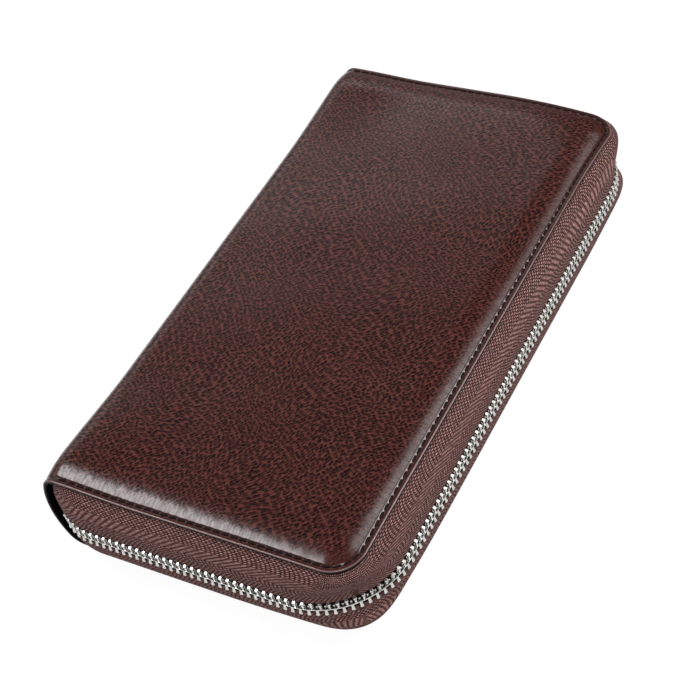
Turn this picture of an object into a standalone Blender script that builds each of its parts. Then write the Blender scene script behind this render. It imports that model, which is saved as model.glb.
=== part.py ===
"""Zip-around long wallet in padded leather, closed and lying on its back.

X runs across the wallet from the spine (-X) to the long zip side (+X), Y runs along it and Z is up.
The origin is the middle of the flat underside of the back cover. The two halves mirror each other
about the plane between the tooth rows, so most pieces are drawn by their depth from that plane.
"""

import math

import bmesh
import bpy
import numpy as np
from mathutils import Matrix, Vector

MM = 0.001

# Covers and spine
COVER_LENGTH = 190 * MM
COVER_WIDTH = 100 * MM
BORDER_DEPTH = 29.5 * MM
CROWN_RISE = 1.4 * MM
CORNER_RADIUS = 10 * MM
LEATHER = 1.3 * MM
EDGE_ROUND = 0.4 * MM
BORDER_WIDTH = 2.5 * MM
SLOPE_WIDTH = 4.6 * MM
SPINE_BULGE = 2.7 * MM
SPINE_SAG = 3.9 * MM
SPINE_FILLET = 5 * MM
SPINE_ROLL = 12 * MM
FOLD_GAP = 0.3 * MM

# Shares of the slope or of the roll at which the padded side of a cover bends
ROLL_START = 0.2
ROLL_KNEE = 0.6
SLOPE_KNEE = 0.4
KNEE_RISE = 0.7
FOAM_FOOT = 0.45

# Layers inside a cover
SEAT_GAP = 0.3 * MM
LINING = 0.8 * MM
LINING_INSET = 2.4 * MM
LINING_RADIUS = 12 * MM
SPINE_LINING = 0.7 * MM
SPINE_LINING_INSET = 3 * MM
SPINE_LINING_ROUND = 0.18 * MM
POCKET_COUNT = 3
POCKET = 0.6 * MM
POCKET_HEIGHT = 76 * MM
POCKET_STEP = 13 * MM
POCKET_MARGIN = 9 * MM
POCKET_RADIUS = 3 * MM

# Pocket in the middle, carried by the spine
CENTRE_WALL = 0.8 * MM
CENTRE_ROOM = 4.8 * MM
CENTRE_WIDTH = 88 * MM
CENTRE_MARGIN = 11 * MM
BINDING = 0.5 * MM
BINDING_LAP = 3 * MM

# Zip
TAPE = 0.8 * MM
FLANGE_WIDTH = 6.2 * MM
TAPE_BEND_INSET = 1.2 * MM
TAPE_STRAIGHT = 1.4 * MM
CHAIN_REACH = 4 * MM
CHAIN_CORNER_RADIUS = 24 * MM
CORNER_SWELL = 3
CHAIN_HALF = 2.6 * MM
CHAIN_THICKNESS = 2.4 * MM
TUCK_DEPTH = 5 * MM
TUCK_START = 14 * MM
TUCK_END = 1.4 * MM
TOOTH_PITCH = 2.33 * MM
TOOTH_GAP = 0.2 * MM
TOOTH_OVERLAP = 0.9 * MM
TOOTH_TAPER = 0.1 * MM
BEAD = 0.9 * MM
STOP_LENGTH = 2 * MM
STOP_WALL = 0.6 * MM

# Slider and pull
SLIDER_FROM_SPINE = 19 * MM
SLIDER_LENGTH = 11 * MM
SLIDER_PLATE = 0.9 * MM
SLIDER_FLARE = 0.9 * MM
SLIDER_NOSE = 1.35 * MM
SLIDER_CLEARANCE = 0.25 * MM
LIP = 0.8 * MM
LIP_CLEARANCE = 0.4 * MM
WEDGE_LENGTH = 3.6 * MM
WEDGE_HALF = 1.1 * MM
BAIL_LENGTH = 7.2 * MM
BAIL_WIDTH = 1.2 * MM
BAIL_BAR = 1 * MM
BAIL_ROOM = 1.8 * MM
PULL_LENGTH = 24 * MM
PULL_WIDTH = 6.4 * MM
PULL_HEAD = 4.6 * MM
PULL_THICKNESS = 1 * MM
PULL_CLEARANCE = 0.4 * MM

# Smoothness of the round stretches
CORNER_STEPS = 6
POCKET_CORNER_STEPS = 3
WRAP_STEPS = 8
FOLD_STEPS = 3
TAPE_STEPS = 5
TUCK_STEPS = 4
PATH_STEPS = 60
LEAST_RADIUS = 1 * MM
SHARP_ANGLE = math.radians(35)

FRONT = 1
BACK = -1

half_length = COVER_LENGTH / 2
half_width = COVER_WIDTH / 2
half_depth = BORDER_DEPTH / 2
mid_z = half_depth + CROWN_RISE

# Depths from the middle plane, from the outer leather inwards
leather_inside = half_depth - LEATHER
tape_outside = leather_inside - SEAT_GAP
tape_inside = tape_outside - TAPE
lining_outside = tape_inside - SEAT_GAP
lining_inside = lining_outside - LINING
tape_end = CHAIN_HALF + SEAT_GAP

# The spine's section: one wide arc joined to each cover by a fillet
spine_radius = (half_depth**2 + SPINE_SAG**2) / (2 * SPINE_SAG)
spine_centre_x = spine_radius - half_width - SPINE_BULGE
fillet_depth = half_depth - SPINE_FILLET
fillet_x = spine_centre_x - math.sqrt((spine_radius - SPINE_FILLET) ** 2 - fillet_depth**2)
fillet_end = math.pi - math.asin(fillet_depth / (spine_radius - SPINE_FILLET))
fold_angle = (math.pi / 2 + fillet_end) / 2
fold_half_gap = FOLD_GAP / 2 / SPINE_FILLET
spine_inside = LEATHER + SEAT_GAP + SPINE_LINING

chain_y = half_length + CHAIN_REACH
slider_x = SLIDER_FROM_SPINE - half_width
outer_face = chain_y + CHAIN_THICKNESS / 2 + SLIDER_CLEARANCE + SLIDER_PLATE
pull_y = outer_face + BAIL_ROOM / 2


def wrap_point(angle, depth):
    """Point (x, depth from the middle) of the spine's section, by the angle of its outward normal."""
    if angle <= fillet_end:
        x, d, radius = fillet_x, fillet_depth, SPINE_FILLET
    elif angle < 2 * math.pi - fillet_end:
        x, d, radius = spine_centre_x, 0, spine_radius
    else:
        x, d, radius = fillet_x, -fillet_depth, SPINE_FILLET
    reach = radius - depth
    return x + reach * math.cos(angle), d + reach * math.sin(angle)


fold_x, fold_depth = wrap_point(fold_angle, 0)


def steps(start, end, count):
    """Evenly spaced values from start to end, both included."""
    return [start + (end - start) * k / count for k in range(count + 1)]


def remove_all():
    for old in list(bpy.data.objects):
        bpy.data.objects.remove(old, do_unlink=True)


def material(name, colour, roughness, metallic=0.0):
    made = bpy.data.materials.new(name)
    made.use_nodes = True
    shader = made.node_tree.nodes["Principled BSDF"]
    shader.inputs["Base Color"].default_value = (*colour, 1)
    shader.inputs["Roughness"].default_value = roughness
    shader.inputs["Metallic"].default_value = metallic
    made.diffuse_color = (*colour, 1)
    return made


def empty(name, place, parent=None):
    made = bpy.data.objects.new(name, None)
    made.empty_display_size = 10 * MM
    bpy.context.collection.objects.link(made)
    made.parent = parent
    carried = parent["place"] if parent else (0, 0, 0)
    made.location = Vector(place) - Vector(carried)
    made["place"] = list(place)
    return made


def add_piece(name, bm, finish, parent):
    """Turn a mesh drawn in the wallet's frame into a named object carried by an empty."""
    bmesh.ops.recalc_face_normals(bm, faces=bm.faces)
    bm.transform(Matrix.Translation(-Vector(parent["place"])))
    mesh = bpy.data.meshes.new(name)
    bm.to_mesh(mesh)
    bm.free()
    mesh.shade_smooth()
    mesh.set_sharp_from_angle(angle=SHARP_ANGLE)
    mesh.materials.append(finish)
    made = bpy.data.objects.new(name, mesh)
    bpy.context.collection.objects.link(made)
    made.parent = parent
    return made


def bridge(bm, first, second, closed=True):
    """Quads between two rows of vertices."""
    count = len(first)
    for k in range(count if closed else count - 1):
        after = (k + 1) % count
        bm.faces.new((first[k], first[after], second[after], second[k]))


def loft(sections):
    """Closed body through rings of points, with both ends filled."""
    bm = bmesh.new()
    rings = [[bm.verts.new(p) for p in section] for section in sections]
    for first, second in zip(rings, rings[1:]):
        bridge(bm, first, second)
    bm.faces.new(rings[0])
    bm.faces.new(rings[-1])
    return bm


def extrude(outline, offset):
    """Prism of a flat outline of 3-D points, drawn out by an offset."""
    far = [Vector(p) + Vector(offset) for p in outline]
    return loft([outline, far])


def union(parts):
    """One body made from overlapping closed meshes."""
    objects = []
    for k, bm in enumerate(parts):
        bmesh.ops.recalc_face_normals(bm, faces=bm.faces)
        mesh = bpy.data.meshes.new("union_part")
        bm.to_mesh(mesh)
        bm.free()
        made = bpy.data.objects.new(f"union_part_{k}", mesh)
        made.hide_render = True
        made.display_type = "WIRE"
        bpy.context.collection.objects.link(made)
        objects.append(made)
    base = objects[0]
    for other in objects[1:]:
        joined = base.modifiers.new("join", "BOOLEAN")
        joined.operation = "UNION"
        joined.object = other
    bpy.context.view_layer.update()
    graph = bpy.context.evaluated_depsgraph_get()
    result = bmesh.new()
    result.from_object(base, graph)
    for made in objects:
        bpy.data.objects.remove(made, do_unlink=True)
    return result


def panel_rim(inset, left, radius):
    """Closed outline of a panel: square at the spine, two round corners on the zip side."""
    x = half_width - inset - radius
    y = half_length - inset - radius
    points = [(left, -half_length + inset)]
    for angle in steps(-math.pi / 2, 0, CORNER_STEPS):
        points.append((x + radius * math.cos(angle), -y + radius * math.sin(angle)))
    for angle in steps(0, math.pi / 2, CORNER_STEPS):
        points.append((x + radius * math.cos(angle), y + radius * math.sin(angle)))
    points.append((left, half_length - inset))
    return points


def at_depth(points, side, depth):
    return [(x, y, mid_z + side * depth) for x, y in points]


def cover_rim(inset, left):
    return panel_rim(inset, left, max(CORNER_RADIUS - inset, LEAST_RADIUS))


def cover_leather(side):
    """Padded panel with a sewn border, ending in a lip that rolls over to the spine."""
    slope_end = BORDER_WIDTH + SLOPE_WIDTH
    crown = half_depth + CROWN_RISE
    roll_start = fillet_x + ROLL_START * SPINE_ROLL
    roll_knee = fillet_x + ROLL_KNEE * SPINE_ROLL
    rows = [
        (slope_end, fillet_x + SPINE_ROLL, crown),
        (BORDER_WIDTH + SLOPE_KNEE * SLOPE_WIDTH, roll_knee, half_depth + KNEE_RISE * CROWN_RISE),
        (BORDER_WIDTH, roll_start, half_depth),
        (EDGE_ROUND, fillet_x, half_depth),
        (0, fillet_x, half_depth - EDGE_ROUND),
        (0, fillet_x, leather_inside + EDGE_ROUND),
        (EDGE_ROUND, fillet_x, leather_inside),
        (BORDER_WIDTH, roll_start, leather_inside),
        (slope_end, fillet_x + SPINE_ROLL, crown - LEATHER),
    ]
    lip_rows = range(3, 7)
    bm = bmesh.new()
    rings = []
    for inset, left, depth in rows:
        rings.append([bm.verts.new(p) for p in at_depth(cover_rim(inset, left), side, depth)])
    for k, (first, second) in enumerate(zip(rings, rings[1:])):
        at_lip = k in lip_rows and k + 1 in lip_rows
        bridge(bm, first, second, closed=not at_lip)
    bm.faces.new(rings[0])
    bm.faces.new(rings[-1])
    lip = [rings[k][0] for k in lip_rows] + [rings[k][-1] for k in reversed(lip_rows)]
    depths = [half_depth - rows[k][2] for k in lip_rows]
    depths += depths[::-1]
    for angle in steps(math.pi / 2, fold_angle - fold_half_gap, FOLD_STEPS)[1:]:
        section = []
        for vertex, depth in zip(lip, depths):
            x, d = wrap_point(angle, depth)
            section.append(bm.verts.new((x, vertex.co.y, mid_z + side * d)))
        bridge(bm, lip, section)
        lip = section
    bm.faces.new(lip)
    return bm


def wrapped_strip(angles, outer, thickness, inset, rounding):
    """Strip that follows the spine's section, with rounded long ends at the short sides."""
    y = half_length - inset
    profile = [
        (-y + rounding, outer),
        (-y, outer + rounding),
        (-y, outer + thickness - rounding),
        (-y + rounding, outer + thickness),
        (y - rounding, outer + thickness),
        (y, outer + thickness - rounding),
        (y, outer + rounding),
        (y - rounding, outer),
    ]
    sections = []
    for angle in angles:
        section = []
        for across, depth in profile:
            x, d = wrap_point(angle, depth)
            section.append((x, across, mid_z + d))
        sections.append(section)
    return loft(sections)


def spine_leather():
    start = fold_angle + fold_half_gap
    upper = steps(start, fillet_end, FOLD_STEPS)
    middle = steps(fillet_end, 2 * math.pi - fillet_end, WRAP_STEPS)[1:-1]
    lower = [2 * math.pi - angle for angle in reversed(upper)]
    return wrapped_strip(upper + middle + lower, 0, LEATHER, 0, EDGE_ROUND)


def spine_lining():
    margin = SEAT_GAP / SPINE_FILLET
    angles = steps(fillet_end + margin, 2 * math.pi - fillet_end - margin, WRAP_STEPS)
    outer = LEATHER + SEAT_GAP
    return wrapped_strip(angles, outer, SPINE_LINING, SPINE_LINING_INSET, SPINE_LINING_ROUND)


def padding(side):
    """Foam under the crown of a cover, with sloping sides."""
    foot_share = ROLL_START + (1 - ROLL_START) * FOAM_FOOT
    foot = cover_rim(BORDER_WIDTH + FOAM_FOOT * SLOPE_WIDTH, fillet_x + foot_share * SPINE_ROLL)
    top = cover_rim(BORDER_WIDTH + SLOPE_WIDTH + SEAT_GAP, fillet_x + SPINE_ROLL + SEAT_GAP)
    top_depth = half_depth + CROWN_RISE - LEATHER - SEAT_GAP
    return loft([at_depth(foot, side, leather_inside), at_depth(top, side, top_depth)])


def board(side):
    outline = cover_rim(FLANGE_WIDTH + SEAT_GAP, fillet_x + SEAT_GAP)
    return loft([at_depth(outline, side, tape_inside), at_depth(outline, side, tape_outside)])


def inner_lining(side):
    outline = panel_rim(LINING_INSET, fillet_x + SEAT_GAP, LINING_RADIUS)
    return loft([at_depth(outline, side, lining_inside), at_depth(outline, side, lining_outside)])


def card_pocket(side, number):
    """One of the stepped pocket panels, the shortest nearest the middle."""
    outside = lining_inside - SEAT_GAP - number * (POCKET + SEAT_GAP)
    left = fillet_x + 2 * SEAT_GAP
    right = left + POCKET_HEIGHT - number * POCKET_STEP
    y = half_length - POCKET_MARGIN
    outline = [(left, -y)]
    for turn, corner in ((-math.pi / 2, -1), (0, 1)):
        for angle in steps(turn, turn + math.pi / 2, POCKET_CORNER_STEPS):
            x = right - POCKET_RADIUS + POCKET_RADIUS * math.cos(angle)
            across = corner * (y - POCKET_RADIUS) + POCKET_RADIUS * math.sin(angle)
            outline.append((x, across))
    outline.append((left, y))
    return loft([at_depth(outline, side, outside - POCKET), at_depth(outline, side, outside)])


def centre_left():
    """Where the folded edge of the middle pocket meets the spine's lining."""
    outer = CENTRE_ROOM / 2 + CENTRE_WALL
    reach = spine_radius - spine_inside
    return spine_centre_x - math.sqrt(reach**2 - outer**2) + SEAT_GAP


def centre_shell():
    """Sheet folded in two at the spine, open towards the long zip side."""
    room = CENTRE_ROOM / 2
    outer = room + CENTRE_WALL
    left = centre_left()
    right = left + CENTRE_WIDTH
    y = half_length - CENTRE_MARGIN
    half = [
        (right, outer),
        (left + CENTRE_WALL, outer),
        (left, room),
    ]
    inside = [
        (left + CENTRE_WALL, -room),
        (right, -room),
    ]
    profile = half + [(x, -d) for x, d in reversed(half)]
    profile += [(x, d) for x, d in reversed(inside)] + [(x, -d) for x, d in inside]
    outline = [(x, -y, mid_z + d) for x, d in profile]
    return extrude(outline, (0, 2 * y, 0))


def centre_binding(end):
    """Tape folded round a short edge of the middle pocket, closing it."""
    wall = CENTRE_ROOM / 2 + CENTRE_WALL
    inner = wall + SEAT_GAP
    outer = inner + BINDING
    edge = half_length - CENTRE_MARGIN + SEAT_GAP
    lap = edge - BINDING_LAP
    profile = [
        (lap, outer),
        (edge + BINDING, outer),
        (edge + BINDING, -outer),
        (lap, -outer),
        (lap, -inner),
        (edge, -inner),
        (edge, inner),
        (lap, inner),
    ]
    left = centre_left() + BINDING_LAP
    outline = [(left, end * y, mid_z + d) for y, d in profile]
    return extrude(outline, (CENTRE_WIDTH - BINDING_LAP, 0, 0))


def rim_path(reach, radius, end_x, tuck):
    """Open path round the three zip sides, with both ends turned in beside the spine."""
    turn_x = TUCK_START - half_width
    side_y = half_length + reach
    x = half_width + reach - radius
    y = side_y - radius
    path = []
    for share in steps(1, 0, TUCK_STEPS):
        path.append((turn_x + (end_x - turn_x) * share, -side_y + tuck * share**2))
    for angle in steps(-math.pi / 2, 0, CORNER_STEPS):
        path.append((x + radius * math.cos(angle), -y + radius * math.sin(angle)))
    return path + [(px, -py) for px, py in reversed(path)]


def tape_section():
    """Outline of the tape across the zip: (reach, depth, share of the way to the chain, offset)."""
    middle = (tape_outside + tape_inside) / 2
    low = tape_end + TAPE_STRAIGHT
    span = CHAIN_REACH + TAPE_BEND_INSET
    drop = middle - low
    outer = [(-FLANGE_WIDTH, tape_outside, 0, 0)]
    inner = [(-FLANGE_WIDTH, tape_inside, 0, 0)]
    for angle in steps(0, math.pi / 2, TAPE_STEPS):
        share = math.sin(angle)
        reach = share * span - TAPE_BEND_INSET
        depth = low + drop * math.cos(angle)
        normal = Vector((drop * math.sin(angle), span * math.cos(angle))).normalized() * TAPE / 2
        outer.append((reach + normal.x, depth + normal.y, share, normal.x))
        inner.append((reach - normal.x, depth - normal.y, share, -normal.x))
    outer.append((CHAIN_REACH + TAPE / 2, tape_end, 1, TAPE / 2))
    inner.append((CHAIN_REACH - TAPE / 2, tape_end, 1, -TAPE / 2))
    return outer + inner[::-1]


def zip_tape(side):
    """Woven tape sewn under a cover's border, bowing out and down to the tooth row.

    Round a corner it keeps the cover's small radius at first, so that it swells out under the cover,
    and then draws in to the chain's wide radius. Past the zip's closed end there are no teeth, and the
    edges of the two tapes meet.
    """
    start_radius = CORNER_RADIUS - TAPE_BEND_INSET
    columns = []
    for reach, depth, share, offset in tape_section():
        radius = start_radius + (CHAIN_CORNER_RADIUS - start_radius) * share**CORNER_SWELL + offset
        if reach < -TAPE_BEND_INSET - TAPE:
            radius = max(CORNER_RADIUS + reach, LEAST_RADIUS)
        flange_end = fillet_x + 2 * SEAT_GAP
        chain_end = TUCK_END - half_width
        end_x = flange_end + (chain_end - flange_end) * share
        path = rim_path(reach, radius, end_x, TUCK_DEPTH * share)
        column = at_depth(path, side, depth)
        if depth == tape_end:
            closed = TUCK_STEPS // 2
            column[-closed:] = at_depth(path[-closed:], side, SEAT_GAP)
        columns.append(column)
    return loft([list(ring) for ring in zip(*columns)])


def chain_path():
    """Dense points of the chain's middle line and the length along it at each."""
    end_x = TUCK_END - half_width
    turn_x = TUCK_START - half_width
    radius = CHAIN_CORNER_RADIUS
    x = half_width + CHAIN_REACH - radius
    y = chain_y - radius
    near = []
    for share in steps(1, 0, PATH_STEPS):
        near.append((turn_x + (end_x - turn_x) * share, -chain_y + TUCK_DEPTH * share**2))
    for angle in steps(-math.pi / 2, 0, PATH_STEPS):
        near.append((x + radius * math.cos(angle), -y + radius * math.sin(angle)))
    points = np.array(near + [(px, -py) for px, py in reversed(near)])
    lengths = np.concatenate([[0], np.cumsum(np.linalg.norm(np.diff(points, axis=0), axis=1))])
    return points, lengths


def chain_frame(points, lengths, along):
    """Point of the chain at a length along it, and its outward direction."""
    step = TOOTH_PITCH / 4
    here = np.array([np.interp(along, lengths, points[:, k]) for k in (0, 1)])
    before = np.array([np.interp(along - step, lengths, points[:, k]) for k in (0, 1)])
    after = np.array([np.interp(along + step, lengths, points[:, k]) for k in (0, 1)])
    tangent = after - before
    tangent = tangent / np.linalg.norm(tangent)
    return here, np.array([tangent[1], -tangent[0]])


def tooth_row(side):
    """Comb of metal teeth on a bead. The other row's teeth stand in its gaps."""
    points, lengths = chain_path()
    tooth = TOOTH_PITCH / 2 - TOOTH_GAP
    wedge_back = slider_x - SLIDER_LENGTH / 2 + WEDGE_LENGTH
    straight_end = lengths[-1] - lengths[PATH_STEPS]
    last = straight_end + (TUCK_START - half_width - wedge_back) - TOOTH_PITCH
    first = TOOTH_PITCH if side == FRONT else TOOTH_PITCH * 1.5
    count = int((last - first) / TOOTH_PITCH)
    bm = bmesh.new()

    def corner(along, depth):
        here, out = chain_frame(points, lengths, along)
        z = mid_z + side * depth
        pair = []
        for way in (1, -1):
            x, y = here + out * way * CHAIN_THICKNESS / 2
            pair.append(bm.verts.new((x, y, z)))
        return pair

    before = None
    for k in range(count):
        start = first + k * TOOTH_PITCH
        end = start + tooth
        top0 = corner(start, CHAIN_HALF)
        top1 = corner(end, CHAIN_HALF)
        root0 = corner(start, CHAIN_HALF - BEAD)
        root1 = corner(end, CHAIN_HALF - BEAD)
        tip0 = corner(start + TOOTH_TAPER, -TOOTH_OVERLAP)
        tip1 = corner(end - TOOTH_TAPER, -TOOTH_OVERLAP)
        for way in (0, 1):
            bm.faces.new((top0[way], top1[way], root1[way], root0[way]))
            bm.faces.new((root0[way], root1[way], tip1[way], tip0[way]))
        for one, two in ((top0, top1), (root0, tip0), (tip0, tip1), (tip1, root1)):
            bm.faces.new((*one, *two[::-1]))
        if before:
            top, root = before
            for way in (0, 1):
                bm.faces.new((top[way], top0[way], root0[way], root[way]))
            bm.faces.new((*top, *top0[::-1]))
            bm.faces.new((*root, *root0[::-1]))
        else:
            bm.faces.new((*top0, *root0[::-1]))
        before = top1, root1
    bm.faces.new((*before[0], *before[1][::-1]))
    return bm


def zip_stop(side):
    """Metal clip on the tape's edge that the slider's nose meets when the zip is closed."""
    right = slider_x - SLIDER_LENGTH / 2 - SEAT_GAP
    inner = TAPE / 2 + SEAT_GAP
    outer = inner + STOP_WALL
    low = CHAIN_HALF - STOP_WALL
    high = tape_end + STOP_LENGTH / 2
    profile = [
        (-outer, high),
        (-outer, low),
        (outer, low),
        (outer, high),
        (inner, high),
        (inner, CHAIN_HALF),
        (-inner, CHAIN_HALF),
        (-inner, high),
    ]
    outline = [(right, chain_y + y, mid_z + side * d) for y, d in profile]
    return extrude(outline, (-STOP_LENGTH, 0, 0))


def slider_outline():
    """Shield outline of a slider plate (x, depth): wide at the nose, narrow behind."""
    rear = CHAIN_HALF + SLIDER_CLEARANCE + LIP
    front = rear + SLIDER_FLARE
    half = SLIDER_LENGTH / 2
    upper = [
        (-half, front - 2 * SLIDER_FLARE),
        (-half + SLIDER_FLARE, front),
        (-half + SLIDER_FLARE + SLIDER_NOSE, front),
        (0, rear),
        (half - SLIDER_FLARE, rear),
        (half, rear - SLIDER_FLARE),
    ]
    return upper + [(x, -d) for x, d in reversed(upper)]


def block(x0, x1, y0, y1, z0, z1):
    outline = [(x0, y0, z0), (x1, y0, z0), (x1, y1, z0), (x0, y1, z0)]
    return extrude(outline, (0, 0, z1 - z0))


def bail_arch():
    """Arch on the slider's outer plate that the pull hangs on."""
    half = BAIL_LENGTH / 2
    room = half - BAIL_BAR
    top = BAIL_ROOM + BAIL_BAR
    chamfer = BAIL_BAR / 2
    profile = [
        (-half, -SLIDER_PLATE / 2),
        (-half, top - chamfer),
        (-half + chamfer, top),
        (half - chamfer, top),
        (half, top - chamfer),
        (half, -SLIDER_PLATE / 2),
        (room, -SLIDER_PLATE / 2),
        (room, BAIL_ROOM),
        (-room, BAIL_ROOM),
        (-room, -SLIDER_PLATE / 2),
    ]
    outline = [(slider_x + x, outer_face + y, mid_z - BAIL_WIDTH / 2) for x, y in profile]
    return extrude(outline, (0, 0, BAIL_WIDTH))


def zip_slider():
    """Two plates joined by a wedge at the nose, with lips that keep the chain between them."""
    room = CHAIN_THICKNESS / 2 + SLIDER_CLEARANCE
    parts = []
    nose = slider_x - SLIDER_LENGTH / 2
    wedge = [
        (nose + SLIDER_FLARE, -WEDGE_HALF),
        (nose + SLIDER_FLARE, WEDGE_HALF),
        (nose + WEDGE_LENGTH, 0),
    ]
    reach = room + SLIDER_PLATE / 2
    outline = [(x, chain_y - reach, mid_z + d) for x, d in wedge]
    parts.append(extrude(outline, (0, 2 * reach, 0)))
    for way in (1, -1):
        outline = [(slider_x + x, chain_y + way * room, mid_z + d) for x, d in slider_outline()]
        parts.append(extrude(outline, (0, way * SLIDER_PLATE, 0)))
        slot = TAPE / 2 + LIP_CLEARANCE
        low = CHAIN_HALF + SLIDER_CLEARANCE
        ends = slider_x, slider_x + SLIDER_LENGTH / 2 - SLIDER_FLARE
        across = sorted((chain_y + way * slot, chain_y + way * reach))
        for side in (FRONT, BACK):
            up = sorted((mid_z + side * low, mid_z + side * (low + LIP)))
            parts.append(block(*ends, *across, *up))
    parts.append(bail_arch())
    return union(parts)


def zip_pull():
    """Flat tab lying along the chain, with an oblong eye round the bail."""
    bar = PULL_THICKNESS / 2
    eye_end = BAIL_LENGTH / 2 + BAIL_BAR
    eye_half = BAIL_WIDTH / 2 + PULL_CLEARANCE
    head = PULL_HEAD / 2
    wide = PULL_WIDTH / 2
    neck = eye_end + BAIL_BAR
    upper = [
        (-bar, head - bar),
        (0, head),
        (neck, head),
        (neck + wide, wide),
        (PULL_LENGTH - wide / 2, wide),
        (PULL_LENGTH, wide / 2),
    ]
    outline = upper + [(x, -d) for x, d in reversed(upper)]
    eye = [
        (bar, eye_half),
        (eye_end, eye_half),
        (eye_end, -eye_half),
        (bar, -eye_half),
    ]
    low = pull_y - PULL_THICKNESS / 2
    high = low + PULL_THICKNESS
    bm = bmesh.new()
    rings = []
    for points, y in ((outline, low), (outline, high), (eye, high), (eye, low)):
        rings.append([bm.verts.new((slider_x + x, y, mid_z + d)) for x, d in points])
    bridge(bm, rings[0], rings[1])
    bridge(bm, rings[2], rings[3])
    last = len(outline) - 1
    for ring, hole in ((rings[0], rings[3]), (rings[1], rings[2])):
        bm.faces.new([*ring[: last // 2 + 1], hole[1], hole[0]])
        bm.faces.new([*ring[last // 2 + 1 :], hole[3], hole[2]])
        bm.faces.new((ring[last // 2], ring[last // 2 + 1], hole[2], hole[1]))
        bm.faces.new((ring[last], ring[0], hole[0], hole[3]))
    return bm


def build():
    remove_all()
    leather = material("leather", (0.078, 0.026, 0.022), 0.38)
    spine_finish = material("spine_leather", (0.05, 0.02, 0.017), 0.42)
    tape_finish = material("zip_tape", (0.12, 0.06, 0.055), 0.8)
    metal = material("zip_metal", (0.75, 0.75, 0.74), 0.25, 1.0)
    lining_finish = material("lining", (0.07, 0.032, 0.026), 0.6)
    pocket_finish = material("pocket_leather", (0.085, 0.03, 0.025), 0.5)
    foam_finish = material("foam", (0.75, 0.72, 0.65), 0.95)
    board_finish = material("board", (0.45, 0.36, 0.26), 0.9)
    fabric_finish = material("pocket_fabric", (0.06, 0.035, 0.03), 0.85)

    back_half = empty("back_half", (0, 0, 0))
    spine = empty("spine", (fold_x, 0, mid_z - fold_depth), back_half)
    front_half = empty("front_half", (fold_x, 0, mid_z + fold_depth), spine)
    slider = empty("slider", (slider_x, chain_y, mid_z), back_half)
    pull = empty("pull", (slider_x, pull_y, mid_z), slider)

    for word, side, carrier in (("back", BACK, back_half), ("front", FRONT, front_half)):
        add_piece(f"{word}_cover_leather", cover_leather(side), leather, carrier)
        add_piece(f"{word}_padding", padding(side), foam_finish, carrier)
        add_piece(f"{word}_board", board(side), board_finish, carrier)
        add_piece(f"{word}_lining", inner_lining(side), lining_finish, carrier)
        for number in range(POCKET_COUNT):
            name = f"{word}_card_pocket_{number + 1}"
            add_piece(name, card_pocket(side, number), pocket_finish, carrier)
        add_piece(f"{word}_zip_tape", zip_tape(side), tape_finish, carrier)
        add_piece(f"{word}_zip_teeth", tooth_row(side), metal, carrier)
        add_piece(f"{word}_zip_stop", zip_stop(side), metal, carrier)

    add_piece("spine_leather", spine_leather(), spine_finish, spine)
    add_piece("spine_lining", spine_lining(), lining_finish, spine)
    add_piece("centre_pocket", centre_shell(), fabric_finish, spine)
    add_piece("centre_binding_near", centre_binding(-1), lining_finish, spine)
    add_piece("centre_binding_far", centre_binding(1), lining_finish, spine)

    add_piece("zip_slider", zip_slider(), metal, slider)
    add_piece("zip_pull", zip_pull(), metal, pull)


build()
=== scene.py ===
# %% [markdown]
# # A zip-around leather wallet
# The wallet is a padded leather book. Two covers hang on a soft spine, and a metal zip closes the
# other three sides. Each piece below is drawn around a frame of plain solids that already has the
# right size and the hinges, so a piece only has to look right and ride on the body that carries it.

# %% Load the frame and take its main sizes
import math

import bmesh
import bpy
import numpy as np
from mathutils import Matrix, Vector


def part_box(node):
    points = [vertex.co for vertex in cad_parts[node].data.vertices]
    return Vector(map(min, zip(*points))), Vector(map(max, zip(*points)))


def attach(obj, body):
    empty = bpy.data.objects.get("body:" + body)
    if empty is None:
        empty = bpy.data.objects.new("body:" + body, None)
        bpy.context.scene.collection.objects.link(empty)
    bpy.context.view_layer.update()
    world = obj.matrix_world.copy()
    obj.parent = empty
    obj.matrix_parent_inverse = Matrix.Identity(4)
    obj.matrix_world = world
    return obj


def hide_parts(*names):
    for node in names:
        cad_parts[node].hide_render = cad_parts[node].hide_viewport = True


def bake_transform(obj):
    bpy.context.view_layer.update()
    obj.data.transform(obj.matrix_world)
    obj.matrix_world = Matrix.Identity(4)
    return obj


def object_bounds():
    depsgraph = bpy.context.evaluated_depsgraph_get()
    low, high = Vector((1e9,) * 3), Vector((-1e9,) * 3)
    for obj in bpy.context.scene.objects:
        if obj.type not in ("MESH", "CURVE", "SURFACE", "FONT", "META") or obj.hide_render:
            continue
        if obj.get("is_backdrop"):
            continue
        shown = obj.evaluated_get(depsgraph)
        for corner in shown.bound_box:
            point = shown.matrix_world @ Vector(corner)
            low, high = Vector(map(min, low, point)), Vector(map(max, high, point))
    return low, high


MM = 0.001
FRONT, BACK = 1, -1
SIDES = (("front", FRONT), ("back", BACK))

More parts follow.
